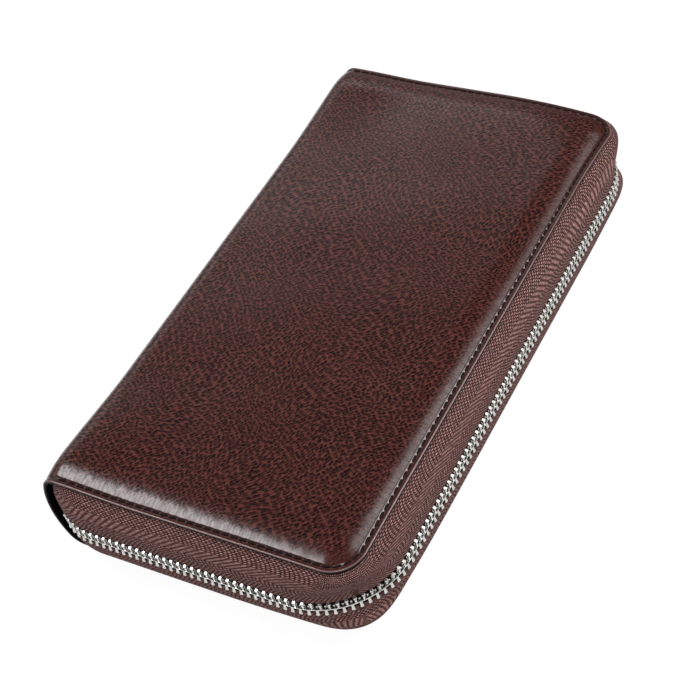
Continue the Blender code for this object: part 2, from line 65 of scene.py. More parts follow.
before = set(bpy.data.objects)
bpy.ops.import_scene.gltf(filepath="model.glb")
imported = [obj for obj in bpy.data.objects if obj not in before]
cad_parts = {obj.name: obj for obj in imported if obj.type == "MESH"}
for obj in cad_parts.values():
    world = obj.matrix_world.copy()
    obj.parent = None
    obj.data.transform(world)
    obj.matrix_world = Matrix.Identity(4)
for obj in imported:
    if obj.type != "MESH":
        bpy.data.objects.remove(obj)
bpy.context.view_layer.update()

CROWN_RISE = 1.4 * MM
cover_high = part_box("front_cover_leather")[1]
cover_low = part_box("back_cover_leather")[0]
half_width = cover_high.x
half_length = cover_high.y
mid_z = (cover_high.z + cover_low.z) / 2
half_depth = cover_high.z - mid_z - CROWN_RISE
spine_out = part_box("spine_leather")[0].x
print("cover", 2 * half_width / MM, "by", 2 * half_length / MM, "mm, middle plane at", mid_z / MM)

# %% [markdown]
# ## Camera
# The view was found by matching the corners of the covers to the picture: a longish lens from above
# the near right corner, rolled a little to the left. A small shift puts the optical centre where the
# picture has it, so the perspective of the long sides agrees too.

# %% Camera
IMAGE_PX = 700
FOCAL_PX = 1640.8
CENTRE_PX = (347.4, 326.8)
AZIMUTH, ELEVATION, ROLL = (math.radians(a) for a in (39.49, 44.86, -16.51))
DISTANCE = 511.2 * MM
AIM = Vector((-5.16, 0, 11.15)) * MM
SENSOR_MM = 36

scene = bpy.context.scene
level_share = math.cos(ELEVATION)
back = Vector((math.sin(AZIMUTH) * level_share, -math.cos(AZIMUTH) * level_share, math.sin(ELEVATION)))
right = (-back).cross(Vector((0, 0, 1))).normalized()
up = right.cross(-back)
rolled_right = right * math.cos(ROLL) + up * math.sin(ROLL)
rolled_up = up * math.cos(ROLL) - right * math.sin(ROLL)

lens = bpy.data.cameras.new("camera")
lens.sensor_width = SENSOR_MM
lens.lens = FOCAL_PX / IMAGE_PX * SENSOR_MM
lens.shift_x = (IMAGE_PX / 2 - CENTRE_PX[0]) / IMAGE_PX
lens.shift_y = (CENTRE_PX[1] - IMAGE_PX / 2) / IMAGE_PX
lens.clip_start = 0.01
camera = bpy.data.objects.new("camera", lens)
scene.collection.objects.link(camera)
axes = Matrix((rolled_right, rolled_up, back)).transposed().to_4x4()
camera.matrix_world = Matrix.Translation(AIM + back * DISTANCE) @ axes
scene.camera = camera
print("camera", round(lens.lens, 1), "mm lens at", [round(c, 3) for c in camera.location])

# %% [markdown]
# ## Small tools
# Everything is drawn as tables of points joined by quads, because a sewn leather case is a set of
# rows that run round its edge. Arrays keep that short: one call makes all the quads of a table.

# %% Mesh tools
def ease(share):
    """Smooth step from 0 to 1."""
    share = np.clip(share, 0, 1)
    return share * share * (3 - 2 * share)


def bell(off, width):
    """Bell curve: 1 in its middle, and less the further off."""
    return np.exp(-((off / width) ** 2))


def at_level(flat, level):
    """Flat points raised to one level."""
    return np.column_stack([flat, np.full(len(flat), level)])


def quads(table, closed=False):
    """Quads between the neighbouring rows of a table of vertex numbers."""
    if closed:
        table = np.concatenate([table, table[:, :1]], axis=1)
    corners = (table[:-1, :-1], table[:-1, 1:], table[1:, 1:], table[1:, :-1])
    return np.stack(corners, -1).reshape(-1, 4).tolist()


def numbers(shape, start=0):
    """A table of vertex numbers."""
    return start + np.arange(int(np.prod(shape))).reshape(shape)


def repeat(shape, faces, places, turns):
    """A small shape set down at many places, each with its own three axes as rows."""
    points = [place + shape @ turn for place, turn in zip(places, turns)]
    every = [[n + k * len(shape) for n in face] for k in range(len(points)) for face in faces]
    return np.concatenate(points), every


def merge(*shapes):
    """Several shapes of points and faces as one."""
    starts = np.cumsum([0] + [len(points) for points, _ in shapes])
    every = [[n + start for n in face] for start, (_, faces) in zip(starts, shapes) for face in faces]
    return np.concatenate([points for points, _ in shapes]), every


def tube(rings):
    """A closed body through rings of points, with both ends filled."""
    rings = np.asarray(rings, float)
    table = numbers(rings.shape[:2])
    return rings.reshape(-1, 3), quads(table, closed=True) + [table[0].tolist(), table[-1].tolist()]


def along_path(path, run, at):
    """Points of a path at lengths along it, and the unit direction there."""
    reach = 0.3 * MM
    axes = range(path.shape[1])
    here, ahead, behind = (
        np.stack([np.interp(at + shift, run, path[:, k]) for k in axes], -1) for shift in (0, reach, -reach)
    )
    way = ahead - behind
    return here, way / np.linalg.norm(way, axis=1)[:, None]


# %% Make a piece and tell its size
def put(name, points, faces, finish, fields=None, smooth=40):
    """A named mesh with its faces turned outward. A field is a value that the finish reads by name."""
    mesh = bpy.data.meshes.new(name)
    mesh.from_pydata(np.asarray(points, float).tolist(), [], faces)
    bm = bmesh.new()
    bm.from_mesh(mesh)
    bmesh.ops.recalc_face_normals(bm, faces=bm.faces)
    bm.to_mesh(mesh)
    bm.free()
    mesh.shade_smooth()
    mesh.set_sharp_from_angle(angle=math.radians(smooth))
    mesh.materials.append(finish)
    for field, values in (fields or {}).items():
        layer = mesh.attributes.new(field, "FLOAT_VECTOR", "POINT")
        layer.data.foreach_set("vector", np.asarray(values, np.float32).ravel())
    made = bpy.data.objects.new(name, mesh)
    scene.collection.objects.link(made)
    return made


def tell(*pieces):
    """Print how many faces each piece has."""
    for piece in pieces:
        print(piece.name, len(piece.data.polygons), "faces")


# %% Shader tools
def feed(tree, socket, value):
    """Give a socket a plain value or a link."""
    if isinstance(value, bpy.types.NodeSocket):
        tree.links.new(value, socket)
    else:
        socket.default_value = value


def add(tree, kind, sockets=None, **settings):
    """A shader node with its settings and inputs."""
    made = tree.nodes.new(kind)
    for key, value in settings.items():
        setattr(made, key, value)
    for key, value in (sockets or {}).items():
        feed(tree, made.inputs[key], value)
    return made


def calc(tree, operation, *values):
    made = add(tree, "ShaderNodeMath", operation=operation)
    for socket, value in zip(made.inputs, values):
        feed(tree, socket, value)
    return made.outputs[0]


def times(tree, first, second):
    return calc(tree, "MULTIPLY", first, second)


def span(tree, value, low, high, to_low=0.0, to_high=1.0):
    """Smooth clamped step of a value from low to high."""
    sockets = {"Value": value, "From Min": low, "From Max": high, "To Min": to_low, "To Max": to_high}
    return add(tree, "ShaderNodeMapRange", sockets, interpolation_type="SMOOTHSTEP").outputs["Result"]


def tint(tree, share, first, second, blend_type="MIX"):
    """Mix of two colours."""
    made = add(tree, "ShaderNodeMix", data_type="RGBA", blend_type=blend_type)
    for socket, value in zip((made.inputs[0], made.inputs[6], made.inputs[7]), (share, first, second)):
        if isinstance(value, tuple):
            value = (*value, 1)
        feed(tree, socket, value)
    return made.outputs[2]


def noise(tree, place, scale, detail=2.0, roughness=0.5):
    sockets = {"Vector": place, "Scale": scale, "Detail": detail, "Roughness": roughness}
    return add(tree, "ShaderNodeTexNoise", sockets)


def vector(tree, operation, first, second):
    made = add(tree, "ShaderNodeVectorMath", operation=operation)
    feed(tree, made.inputs[0], first)
    feed(tree, made.inputs["Scale" if operation == "SCALE" else 1], second)
    return made.outputs[0]


def field(tree, name):
    """A value stored on the mesh, as a vector."""
    return add(tree, "ShaderNodeAttribute", attribute_name=name).outputs["Vector"]


def place_mm(tree):
    """Place on the piece, in millimetres."""
    return vector(tree, "SCALE", add(tree, "ShaderNodeTexCoord").outputs["Object"], 1 / MM)


def parts_of(tree, value):
    return add(tree, "ShaderNodeSeparateXYZ", {"Vector": value}).outputs


def darker(colour, share):
    return tuple(share * c for c in colour)


# %% Tools for node groups and materials
def group(name, inputs, outputs):
    """An empty shader node group with named sockets. An input is (name, kind, value)."""
    tree = bpy.data.node_groups.new(name, "ShaderNodeTree")
    for label, kind, value in inputs:
        socket = tree.interface.new_socket(label, in_out="INPUT", socket_type=kind)
        if value is not None:
            socket.default_value = value
    for label, kind in outputs:
        tree.interface.new_socket(label, in_out="OUTPUT", socket_type=kind)
    return tree, tree.nodes.new("NodeGroupInput").outputs, tree.nodes.new("NodeGroupOutput").inputs


def place_group(tree, shared, sockets):
    made = add(tree, "ShaderNodeGroup", node_tree=shared)
    for key, value in sockets.items():
        feed(tree, made.inputs[key], value)
    return made.outputs


def finish_of(name, roughness=0.5, metallic=0.0, specular=0.5):
    """A new material with its tree and its shader."""
    made = bpy.data.materials.new(name)
    made.use_nodes = True
    shader = made.node_tree.nodes["Principled BSDF"]
    shader.inputs["Roughness"].default_value = roughness
    shader.inputs["Metallic"].default_value = metallic
    shader.inputs["Specular IOR Level"].default_value = specular
    return made, made.node_tree, shader


def relief(tree, shader, height, depth):
    """Bump of a height from 0 to 1 that is so many metres deep."""
    made = add(tree, "ShaderNodeBump", {"Height": height, "Distance": depth, "Strength": 1.0})
    tree.links.new(made.outputs["Normal"], shader.inputs["Normal"])


FLOAT, VECTOR = "NodeSocketFloat", "NodeSocketVector"

# %% [markdown]
# ## Leather grain
# The hide is printed with a fine grain: dark oval pits, a millimetre or two long, with lighter ridges
# between them. The pits lean one way but the lean wanders, as on a real skin. A cell texture gives a
# soft pit round the middle of each cell, noise breaks the pits up and strings them in rows, and bending
# the coordinates with slow noise before stretching them gives the wandering lean. The coordinates are
# the flat hide's own, kept on the mesh, so the grain runs over the folds unbroken.

# %% Node group: hide grain
HALF = (0.5, 0.5, 0.5)
PIT_STRETCH = (1.25, 0.8, 1)
STREAK_STRETCH = (1.5, 0.4, 1)
SHAKE = 0.6


def hide_grain():
    inputs = [("Hide", VECTOR, None), ("Cell mm", FLOAT, 1.25)]
    inputs += [("Lean", FLOAT, 0.0), ("Wander mm", FLOAT, 22.0)]
    outputs = [("Pit", FLOAT), ("Ridge", FLOAT), ("Fleck", FLOAT), ("Height", FLOAT), ("Patch", FLOAT)]
    tree, given, out = group("hide_grain", inputs, outputs)
    hide = vector(tree, "SCALE", given["Hide"], 1 / MM)
    slow = noise(tree, hide, 0.021, 1.0).outputs["Color"]
    drift = vector(tree, "SUBTRACT", slow, HALF)
    drift = vector(tree, "MULTIPLY", drift, (1, 1, 0))
    bent = vector(tree, "ADD", hide, vector(tree, "SCALE", drift, given["Wander mm"]))
    sockets = {"Vector": bent, "Angle": given["Lean"]}
    turned = add(tree, "ShaderNodeVectorRotate", sockets, rotation_type="Z_AXIS").outputs[0]
    size = calc(tree, "DIVIDE", 1.0, given["Cell mm"])
    scaled = vector(tree, "SCALE", vector(tree, "MULTIPLY", turned, PIT_STRETCH), size)
    shaky = noise(tree, scaled, 1.5, 3.0, 0.6).outputs["Color"]
    shaky = vector(tree, "SCALE", vector(tree, "SUBTRACT", shaky, HALF), SHAKE)
    sockets = {"Vector": vector(tree, "ADD", scaled, shaky), "Scale": 1.0, "Randomness": 0.6}
    cell = add(tree, "ShaderNodeTexVoronoi", sockets, feature="F1", voronoi_dimensions="2D")
    chance = parts_of(tree, cell.outputs["Color"])[0]
    off_middle = cell.outputs["Distance"]
    open_pit = span(tree, off_middle, 0.54, 0.18)
    weight = span(tree, chance, 0.0, 0.9, 0.65, 1.1)
    cloud = noise(tree, hide, 0.16, 2.0).outputs["Fac"]
    weight = times(tree, weight, span(tree, cloud, 0.3, 0.6, 0.8, 1.0))
    broken = noise(tree, scaled, 2.6, 3.0, 0.65).outputs["Fac"]
    weight = times(tree, weight, span(tree, broken, 0.38, 0.56, 0.45, 1.2))
    strung = vector(tree, "MULTIPLY", scaled, STREAK_STRETCH)
    streak = noise(tree, strung, 1.0, 2.0).outputs["Fac"]
    weight = times(tree, weight, span(tree, streak, 0.36, 0.62, 1.3, 0.5))
    pit = calc(tree, "MINIMUM", times(tree, open_pit, weight), 1.0)
    ridge = span(tree, off_middle, 0.36, 0.62)
    feed(tree, out["Pit"], pit)
    feed(tree, out["Ridge"], ridge)
    fine = noise(tree, scaled, 2.2, 3.0, 0.65).outputs["Fac"]
    feed(tree, out["Fleck"], span(tree, fine, 0.37, 0.63))
    height = calc(tree, "SUBTRACT", times(tree, ridge, 0.3), pit)
    feed(tree, out["Height"], calc(tree, "MULTIPLY_ADD", fine, 0.2, height))
    feed(tree, out["Patch"], noise(tree, hide, 0.05, 3.0, 0.6).outputs["Fac"])
    return tree


HIDE_GRAIN = hide_grain()

# %% [markdown]
# ## Cover leather
# The covers are dull red-brown leather under a clear varnish, so the gloss is a coat over a matt body.
# The varnish is thin in the pits and full over the padded shoulder, where the skin is stretched: there
# the pits close, and fine worn creases run square to the seam. The stitch groove has painted shade, the
# very edge has a painted pale highlight, and the cut side is dyed black and not varnished. The mesh
# carries the place on the hide, the distance along and from the edge, and the edge dye.

# %% Finish: cover leather
STITCH_INSET = 1.65 * MM
COVER_LEAN = math.radians(42)
# Colour of the painted highlight along the very edge of the turned leather.
EDGE_HIGHLIGHT = (0.3, 0.2, 0.19)
GRAIN_DEPTH = 0.1 * MM


def leather_finish(name, pit_colour, body_colour, ridge_colour, cell, varnish):
    made, tree, shader = finish_of(name, specular=0.05)
    shader.inputs["Coat Roughness"].default_value = varnish
    shader.inputs["Coat IOR"].default_value = 1.6
    hide = field(tree, "hide")
    hide_x, hide_y, dye = parts_of(tree, hide)
    seam = parts_of(tree, field(tree, "seam"))
    along = times(tree, seam[0], 1 / MM)
    inset = times(tree, seam[1], 1 / MM)
    flat = add(tree, "ShaderNodeCombineXYZ", {"X": hide_x, "Y": hide_y}).outputs[0]
    grain = place_group(tree, HIDE_GRAIN, {"Hide": flat, "Cell mm": cell, "Lean": COVER_LEAN})
    stretched = span(tree, inset, 6.5, 2.8)
    kept = calc(tree, "SUBTRACT", 1.0, times(tree, stretched, 0.75))
    pit = times(tree, grain["Pit"], kept)
    ridge = times(tree, grain["Ridge"], kept)
    body = tint(tree, span(tree, grain["Patch"], 0.35, 0.65), body_colour, darker(body_colour, 0.8))
    colour = tint(tree, times(tree, ridge, 0.7), body, ridge_colour)
    colour = tint(tree, times(tree, pit, 0.95), colour, pit_colour)
    colour = tint(tree, 1.0, colour, span(tree, grain["Fleck"], 0.0, 1.0, 0.6, 1.4), "MULTIPLY")
    from_seam = calc(tree, "ABSOLUTE", calc(tree, "SUBTRACT", inset, STITCH_INSET / MM))
    # Painted shade: the stitch groove is darkened towards the pit colour.
    colour = tint(tree, span(tree, from_seam, 0.6, 0.25, 0.0, 0.4), colour, pit_colour)
    # Painted highlight: the very edge is tinted pale where its rounded top would catch the light.
    colour = tint(tree, span(tree, inset, 0.55, 0.3, 0.0, 0.5), colour, EDGE_HIGHLIGHT)
    colour = tint(tree, dye, colour, pit_colour)
    tree.links.new(colour, shader.inputs["Base Color"])
    tree.links.new(calc(tree, "MULTIPLY_ADD", pit, 0.2, 0.55), shader.inputs["Roughness"])
    crease_place = add(tree, "ShaderNodeCombineXYZ", {"X": along, "Y": times(tree, inset, 0.16)})
    crease = noise(tree, crease_place.outputs[0], 1.6, 2.0).outputs["Fac"]
    crease_here = times(tree, span(tree, inset, 9.0, 5.0), span(tree, inset, 1.8, 2.6))
    coat = calc(tree, "MULTIPLY_ADD", pit, -0.4, span(tree, stretched, 0.0, 1.0, 0.95, 1.0))
    worn = times(tree, crease_here, span(tree, crease, 0.6, 0.4, 0.0, 0.35))
    coat = calc(tree, "SUBTRACT", coat, worn)
    tree.links.new(times(tree, coat, calc(tree, "SUBTRACT", 1.0, dye)), shader.inputs["Coat Weight"])
    height = times(tree, times(tree, grain["Height"], kept), span(tree, inset, 1.4, 2.4))
    relief(tree, shader, height, GRAIN_DEPTH)
    return made


PIT = (0.002, 0.001, 0.0012)
BODY = (0.055, 0.0148, 0.0114)
RIDGE = (0.125, 0.0335, 0.0265)
COVER = leather_finish("cover_leather", PIT, BODY, RIDGE, cell=1.15, varnish=0.18)

# %% [markdown]
# ## Leather covers
# One hide covers both sides and the spine on the real wallet. Here it is cut along the middle of the
# spine, where nobody sees a join, and each half is a skin of its own. Round the edge each half
# is a set of rows: from the crown down the padded shoulder to the stitch groove, over the flat border,
# round the turned edge and back underneath. The middle is one smooth patch between the rows.

# %% Shape of the spine and of the border
SPINE_SAG = 3.9 * MM
SPINE_FILLET = 5 * MM
SPINE_ROLL = 9 * MM
LEATHER = 1.3 * MM
CORNER_RADIUS = 10 * MM
CORNER_FLOOR = 5 * MM
CORE_INSET = 12 * MM
FINE = (150, 24, 142)
COARSE = tuple(n // 2 for n in FINE)

spine_radius = (half_depth**2 + SPINE_SAG**2) / (2 * SPINE_SAG)
spine_centre_x = spine_out + spine_radius
fillet_depth = half_depth - SPINE_FILLET
fillet_x = spine_centre_x - math.sqrt((spine_radius - SPINE_FILLET) ** 2 - fillet_depth**2)
fillet_turn = math.pi / 2 - math.asin(fillet_depth / (spine_radius - SPINE_FILLET))
fillet_length = SPINE_FILLET * fillet_turn
wrap_length = fillet_length + spine_radius * (math.pi / 2 - fillet_turn)


def wrap(length, drop):
    """Point (x, depth) of the spine's section: a length round it from the cover, a drop under its face."""
    if length < fillet_length:
        x, depth, radius = fillet_x, fillet_depth, SPINE_FILLET
        angle = math.pi / 2 + length / SPINE_FILLET
    else:
        x, depth, radius = spine_centre_x, 0.0, spine_radius
        angle = math.pi / 2 + fillet_turn + (length - fillet_length) / spine_radius
    return x + (radius - drop) * math.cos(angle), depth + (radius - drop) * math.sin(angle)


def rim(inset, radius, left, counts):
    """Path round the three zip sides of a cover, from the near end of the spine to the far end."""
    along_x, round_corner, along_y = counts
    x = half_width - inset - radius
    y = half_length - inset - radius
    angle = np.linspace(0, math.pi / 2, round_corner, endpoint=False)
    stretches = [
        (np.linspace(left, x, along_x, endpoint=False), np.full(along_x, -y - radius)),
        (x + radius * np.sin(angle), -y - radius * np.cos(angle)),
        (np.full(along_y + 1, x + radius), np.linspace(-y, 0, along_y + 1)),
    ]
    half = np.concatenate([np.stack(stretch, -1) for stretch in stretches])
    return np.concatenate([half, half[-2::-1] * (1, -1)])


def rims_at(insets, corner):
    """The path at several insets. Its corners stay round however far in it lies."""
    return np.array([rim(i, max(corner - i, CORNER_FLOOR), fillet_x, FINE) for i in insets])


def core_patch(inset, corner):
    """Grid that fills the middle of a cover, stretched between the four sides of its rim."""
    path = rim(inset, max(corner - inset, CORNER_FLOOR), fillet_x, COARSE)
    turn = COARSE[0] + COARSE[1] // 2
    near = path[: turn + 1, None]
    far = path[-turn - 1 :][::-1, None]
    outer = path[None, turn : len(path) - turn]
    spine = np.linspace(path[0], path[-1], outer.shape[1])[None]
    u = np.linspace(0, 1, len(near))[:, None, None]
    v = np.linspace(0, 1, outer.shape[1])[None, :, None]
    ends = (1 - u) * ((1 - v) * near[0] + v * far[0]) + u * ((1 - v) * near[-1] + v * far[-1])
    return (1 - u) * spine + u * outer + (1 - v) * near + v * far - ends


def lengths(path):
    """Length along a path at each of its points."""
    return np.concatenate([[0], np.cumsum(np.linalg.norm(np.diff(path, axis=0), axis=1))])


# %% [markdown]
# ## The set of a closed wallet
# A closed zip is a little short for the corners, so it draws them towards the middle, most at the far
# end and underneath. At its two ends the spine is open and flares. Every layer of a half is bent by
# the same small shifts after it is drawn flat, so that the layers stay on each other. Only the teeth,
# which lie in the middle plane, are left as drawn.

# %% Bend a half as it lies when closed
CORNER_PULL = {FRONT: (0.3 * MM, 2.8 * MM), BACK: (2.6 * MM, 2.6 * MM)}
PULL_START = 30 * MM
PULL_FULL = 4 * MM
SPINE_LIFT = {FRONT: 1.2 * MM, BACK: 0.0}
SPINE_FLARE = 0.9 * MM
SPINE_SPREAD = 0.4 * MM
LIFT_START, LIFT_RUN = -18 * MM, 30 * MM
FLARE_START, FLARE_RUN = -38 * MM, 14 * MM
END_START, END_RUN = 50 * MM, 45 * MM


def settle(points, side):
    """Shift the points of a half: corners drawn to the middle plane, ends of the spine flared."""
    x, y, z = np.asarray(points, float).T
    depth = side * (z - mid_z)
    share = np.clip(depth / half_depth, 0, 1)
    from_corner = (half_width - x + half_length - np.abs(y)) / math.sqrt(2)
    bend = np.clip((PULL_START - from_corner) / (PULL_START - PULL_FULL), 0, 1.1) ** 2
    pull = np.where(y < 0, *CORNER_PULL[side])
    near_spine = ease((LIFT_START - x) / LIFT_RUN)
    at_end = ease((np.abs(y) - END_START) / END_RUN)
    depth = depth + share * (SPINE_LIFT[side] * near_spine * at_end - pull * bend)
    x = x - (SPINE_SPREAD + SPINE_FLARE * at_end) * ease((FLARE_START - x) / FLARE_RUN)
    return np.column_stack([x, y, mid_z + side * depth])


# %% A skin wrapped over one cover and half the spine
CORE_GAP = 0.8 * MM
WRAP_ROWS = 24


def book_skin(side, insets, drops, face_drop, under_drop, corner, dye, spine_drops):
    """Points, faces and fields of a closed skin.

    The rows go from the crown over the edge to the underside; drops has a value for each row and station,
    and spine_drops one for each row at the middle of the spine.
    """
    rims = rims_at(insets, corner)
    run = np.hypot(np.diff(insets), np.diff(drops[:, 0]))
    hides = rims_at(insets[0] - np.concatenate([[0], np.cumsum(run)]), corner)
    along = lengths(rims[-1])
    core = core_patch(CORE_INSET + CORE_GAP, corner)
    rows = numbers(rims.shape[:2])
    top = numbers(core.shape[:2], rows.size)
    under = numbers(core.shape[:2], rows.size + top.size)
    flat = np.concatenate([rims.reshape(-1, 2), core.reshape(-1, 2), core.reshape(-1, 2)])
    drop = np.concatenate([drops.ravel(), face_drop(core).ravel(), under_drop(core).ravel()])
    hide = np.concatenate([hides.reshape(-1, 2), core.reshape(-1, 2), core.reshape(-1, 2)])
    dyed = np.concatenate([np.repeat(dye, rims.shape[1]), np.zeros(top.size), np.full(under.size, dye[-1])])
    seam_row = np.stack(np.broadcast_arrays(along[None], insets[:, None]), -1).reshape(-1, 2)
    seam = np.concatenate([seam_row, np.full((2 * top.size, 2), 0.1)])
    points = np.column_stack([flat, mid_z + side * (half_depth - drop)])

    faces = quads(rows) + quads(top) + quads(under)
    for row, patch in ((rows[0], top), (rows[-1], under)):
        inner = np.concatenate([patch[:, 0], patch[-1, 1:], patch[-2::-1, -1]])
        for k in range(len(inner) - 1):
            faces.append([inner[k], *row[2 * k : 2 * k + 3], inner[k + 1]])

    loop = np.concatenate([top[0, ::-1], rows[:, 0], under[0], rows[::-1, -1]])
    at_face, at_underside = (np.full(top.shape[1], spine_drops[k]) for k in (0, -1))
    at_spine = np.concatenate([at_face, spine_drops, at_underside, spine_drops[::-1]])
    rings = [loop]
    count = len(points)
    wraps = []
    for length in np.linspace(0, wrap_length, WRAP_ROWS)[1:]:
        rolled = drop[loop] + (at_spine - drop[loop]) * ease(length / SPINE_ROLL)
        xd = np.array([wrap(length, d) for d in rolled])
        wraps.append(np.column_stack([xd[:, 0], points[loop, 1], mid_z + side * xd[:, 1]]))
        rings.append(numbers(len(loop), count))
        hide = np.concatenate([hide, np.column_stack([hide[loop, 0] - length, hide[loop, 1]])])
        dyed = np.concatenate([dyed, dyed[loop]])
        seam = np.concatenate([seam, np.column_stack([seam[loop, 0] - length, seam[loop, 1]])])
        count += len(loop)
    faces += quads(np.array(rings), closed=True)
    faces.append(rings[-1].tolist())
    points = settle(np.concatenate([points, *wraps]), side)
    fields = {
        "hide": np.column_stack([hide, dyed]),
        "seam": np.column_stack([seam, np.zeros(len(seam))]),
    }
    return points, faces, fields


# %% Height of the leather's face
STITCH_PITCH = 2.85 * MM
BORDER_DROP = 0.15 * MM
GROOVE = 0.22 * MM
GROOVE_HALF = 0.28 * MM
SHOULDER = 10 * MM
BEVEL = math.radians(16)
BEVEL_WIDTH = 0.38 * MM
PUFF = 0.16 * MM
CREASE_DEPTH = 0.007 * MM
STITCH_PULL = 0.03 * MM
STITCH_PULL_IN = 0.2 * MM
STITCH_PULL_HALF = 0.4 * MM


def puff(x, y):
    """Slow unevenness of the padding, only ever inward."""
    waves = np.sin(x * 130 + y * 52 + 1.1) + np.sin(y * 145 - x * 61 + 0.4) + np.sin(x * 88 + y * 97 + 2.3)
    return PUFF * (0.5 + waves / 6)


def creases(along, inset):
    """Soft folds square to the seam where the skin is pulled over the shoulder."""
    waves = np.sin(along / MM * 1.07) + np.sin(along / MM * 1.63 + 1.3) + np.sin(along / MM * 0.71 + 0.5)
    return CREASE_DEPTH * waves * bell((inset - STITCH_INSET) / MM - 2.2, 1.6)


def cover_drop(x, y, inset, along):
    """How far the leather's face lies under the level of the frame's border."""
    inside = np.clip((inset - STITCH_INSET) / SHOULDER, 0, 1)
    rise = (CROWN_RISE + BORDER_DROP) * (1 - (1 - inside) ** 2)
    groove = GROOVE * bell(inset - STITCH_INSET, GROOVE_HALF)
    pull = bell(inset - STITCH_INSET - STITCH_PULL_IN, STITCH_PULL_HALF)
    pull = STITCH_PULL * pull * np.cos(2 * math.pi * along / STITCH_PITCH)
    bevel = math.tan(BEVEL) * np.clip(BEVEL_WIDTH - inset, 0, None)
    return BORDER_DROP + groove + pull + bevel - rise + puff(x, y) * inside + creases(along, inset)


def crown_drop(flat):
    """The same over the middle of the cover, inside the shoulder."""
    return cover_drop(flat[..., 0], flat[..., 1], CORE_INSET, 0.0)


# %% Rows of a cover, from the crown round the edge
EDGE_ROUND = 0.3 * MM
FOAM_INSET = 4.57 * MM


def edge_rows():
    """Insets and drops of the rows round the turned edge, from the bevel to the underside."""
    top = np.linspace(BEVEL, math.pi / 2, 5)
    low = np.linspace(0, math.pi / 2, 5)
    top_insets = EDGE_ROUND * (1 - np.sin(top))
    start = BORDER_DROP + math.tan(BEVEL) * (BEVEL_WIDTH - top_insets[0])
    top_drops = start + EDGE_ROUND * (math.cos(BEVEL) - np.cos(top))
    below = np.linspace(EDGE_ROUND, CORE_INSET, 6)[1:]
    insets = [top_insets, EDGE_ROUND * (1 - np.cos(low)), below]
    drops = [top_drops, LEATHER - EDGE_ROUND * (1 - np.sin(low)), np.full(len(below), LEATHER)]
    return np.concatenate(insets), np.concatenate(drops)


def cover_skin(side):
    share = np.linspace(1, 0, 15)
    shoulder = STITCH_INSET + (CORE_INSET - STITCH_INSET) * share**2
    edge_insets, edge_drops = edge_rows()
    border = np.linspace(STITCH_INSET, edge_insets[0], 12)[1:-1]
    face = np.concatenate([shoulder, border])
    insets = np.concatenate([face, edge_insets])
    rims = rims_at(insets, CORNER_RADIUS)
    along = lengths(rim(STITCH_INSET, CORNER_RADIUS - STITCH_INSET, fillet_x, FINE))
    drops = np.repeat(np.concatenate([face, edge_drops])[:, None], rims.shape[1], 1)
    shaped = slice(0, len(face))
    drops[shaped] = cover_drop(rims[shaped, :, 0], rims[shaped, :, 1], face[:, None], along[None])
    dye = np.concatenate([np.zeros(len(face) + 2), np.linspace(0.4, 1, 4), np.ones(len(edge_insets) - 6)])
    over_foam = (np.arange(len(insets)) >= len(face)) & (insets > FOAM_INSET)
    x, y = np.moveaxis(rims[over_foam], -1, 0)
    drops[over_foam] = cover_drop(x, y, insets[over_foam, None], 0.0) + LEATHER

    def under_drop(flat):
        return crown_drop(flat) + LEATHER

    spine_drops = np.maximum(drops[:, 0], BORDER_DROP)
    spine_drops[over_foam] = LEATHER + BORDER_DROP
    return book_skin(side, insets, drops, crown_drop, under_drop, CORNER_RADIUS, dye, spine_drops)


def bend_over_fold(piece, side):
    if side == FRONT:
        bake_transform(piece)
    else:
        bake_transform(piece)


for word, side in SIDES:
    points, faces, fields = cover_skin(side)
    leather = put(f"{word}_leather", points, faces, COVER, fields, smooth=60)
    bend_over_fold(leather, side)
    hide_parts(f"{word}_cover_leather", "spine_leather")
    tell(leather)

# %% [markdown]
# ## Sewing thread
# A line of stitches runs close inside the edge and holds the cover and the zip tape together. Each
# stitch is a short arched bar that dives into a hole at both ends and leans a little, as a locked
# stitch does. A small bar is drawn once and set down along the path.

# %% Finish: thread
def thread_finish(name, colour):
    made, tree, shader = finish_of(name, roughness=0.6, specular=0.15)
    twist = noise(tree, place_mm(tree), 3.0, 2.0).outputs["Fac"]
    colours = tint(tree, span(tree, twist, 0.35, 0.65), darker(colour, 0.5), colour)
    tree.links.new(colours, shader.inputs["Base Color"])
    relief(tree, shader, twist, 0.03 * MM)
    return made


THREAD = thread_finish("sewing_thread", (0.016, 0.007, 0.0065))

# %% Stitches
STITCH_LENGTH = 2.6 * MM
STITCH_RADIUS = 0.3 * MM
STITCH_ARCH = 0.3 * MM
STITCH_DIVE = 0.2 * MM
STITCH_LEAN = math.radians(9)
SEAM_START = 0.6 * MM


def stitch_shape():
    """One stitch along its first axis, with its third axis up."""
    along = np.linspace(-1, 1, 9)
    angle = np.linspace(0, 2 * math.pi, 8, endpoint=False)
    girth = STITCH_RADIUS * np.sqrt(np.clip(1 - along**4, 0.05, 1))
    arch = STITCH_ARCH * (1 - along**4) - STITCH_DIVE
    points = np.empty((len(along), len(angle), 3))
    points[..., 0] = along[:, None] * STITCH_LENGTH / 2
    points[..., 1] = girth[:, None] * np.cos(angle)
    points[..., 2] = arch[:, None] + girth[:, None] * np.sin(angle)
    return tube(points)


def sew(path, up, pitch=STITCH_PITCH):
    """Points and faces of the stitches along a path, all with the same upward direction."""
    run = lengths(path)
    at = np.arange(0.5, run[-1] / pitch) * pitch
    places, ways = along_path(path, run, at)
    turns = []
    for way in ways:
        lean = way * math.cos(STITCH_LEAN) + np.cross(up, way) * math.sin(STITCH_LEAN)
        turns.append(np.array([lean, np.cross(up, lean), up]))
    return repeat(*stitch_shape(), places, turns)


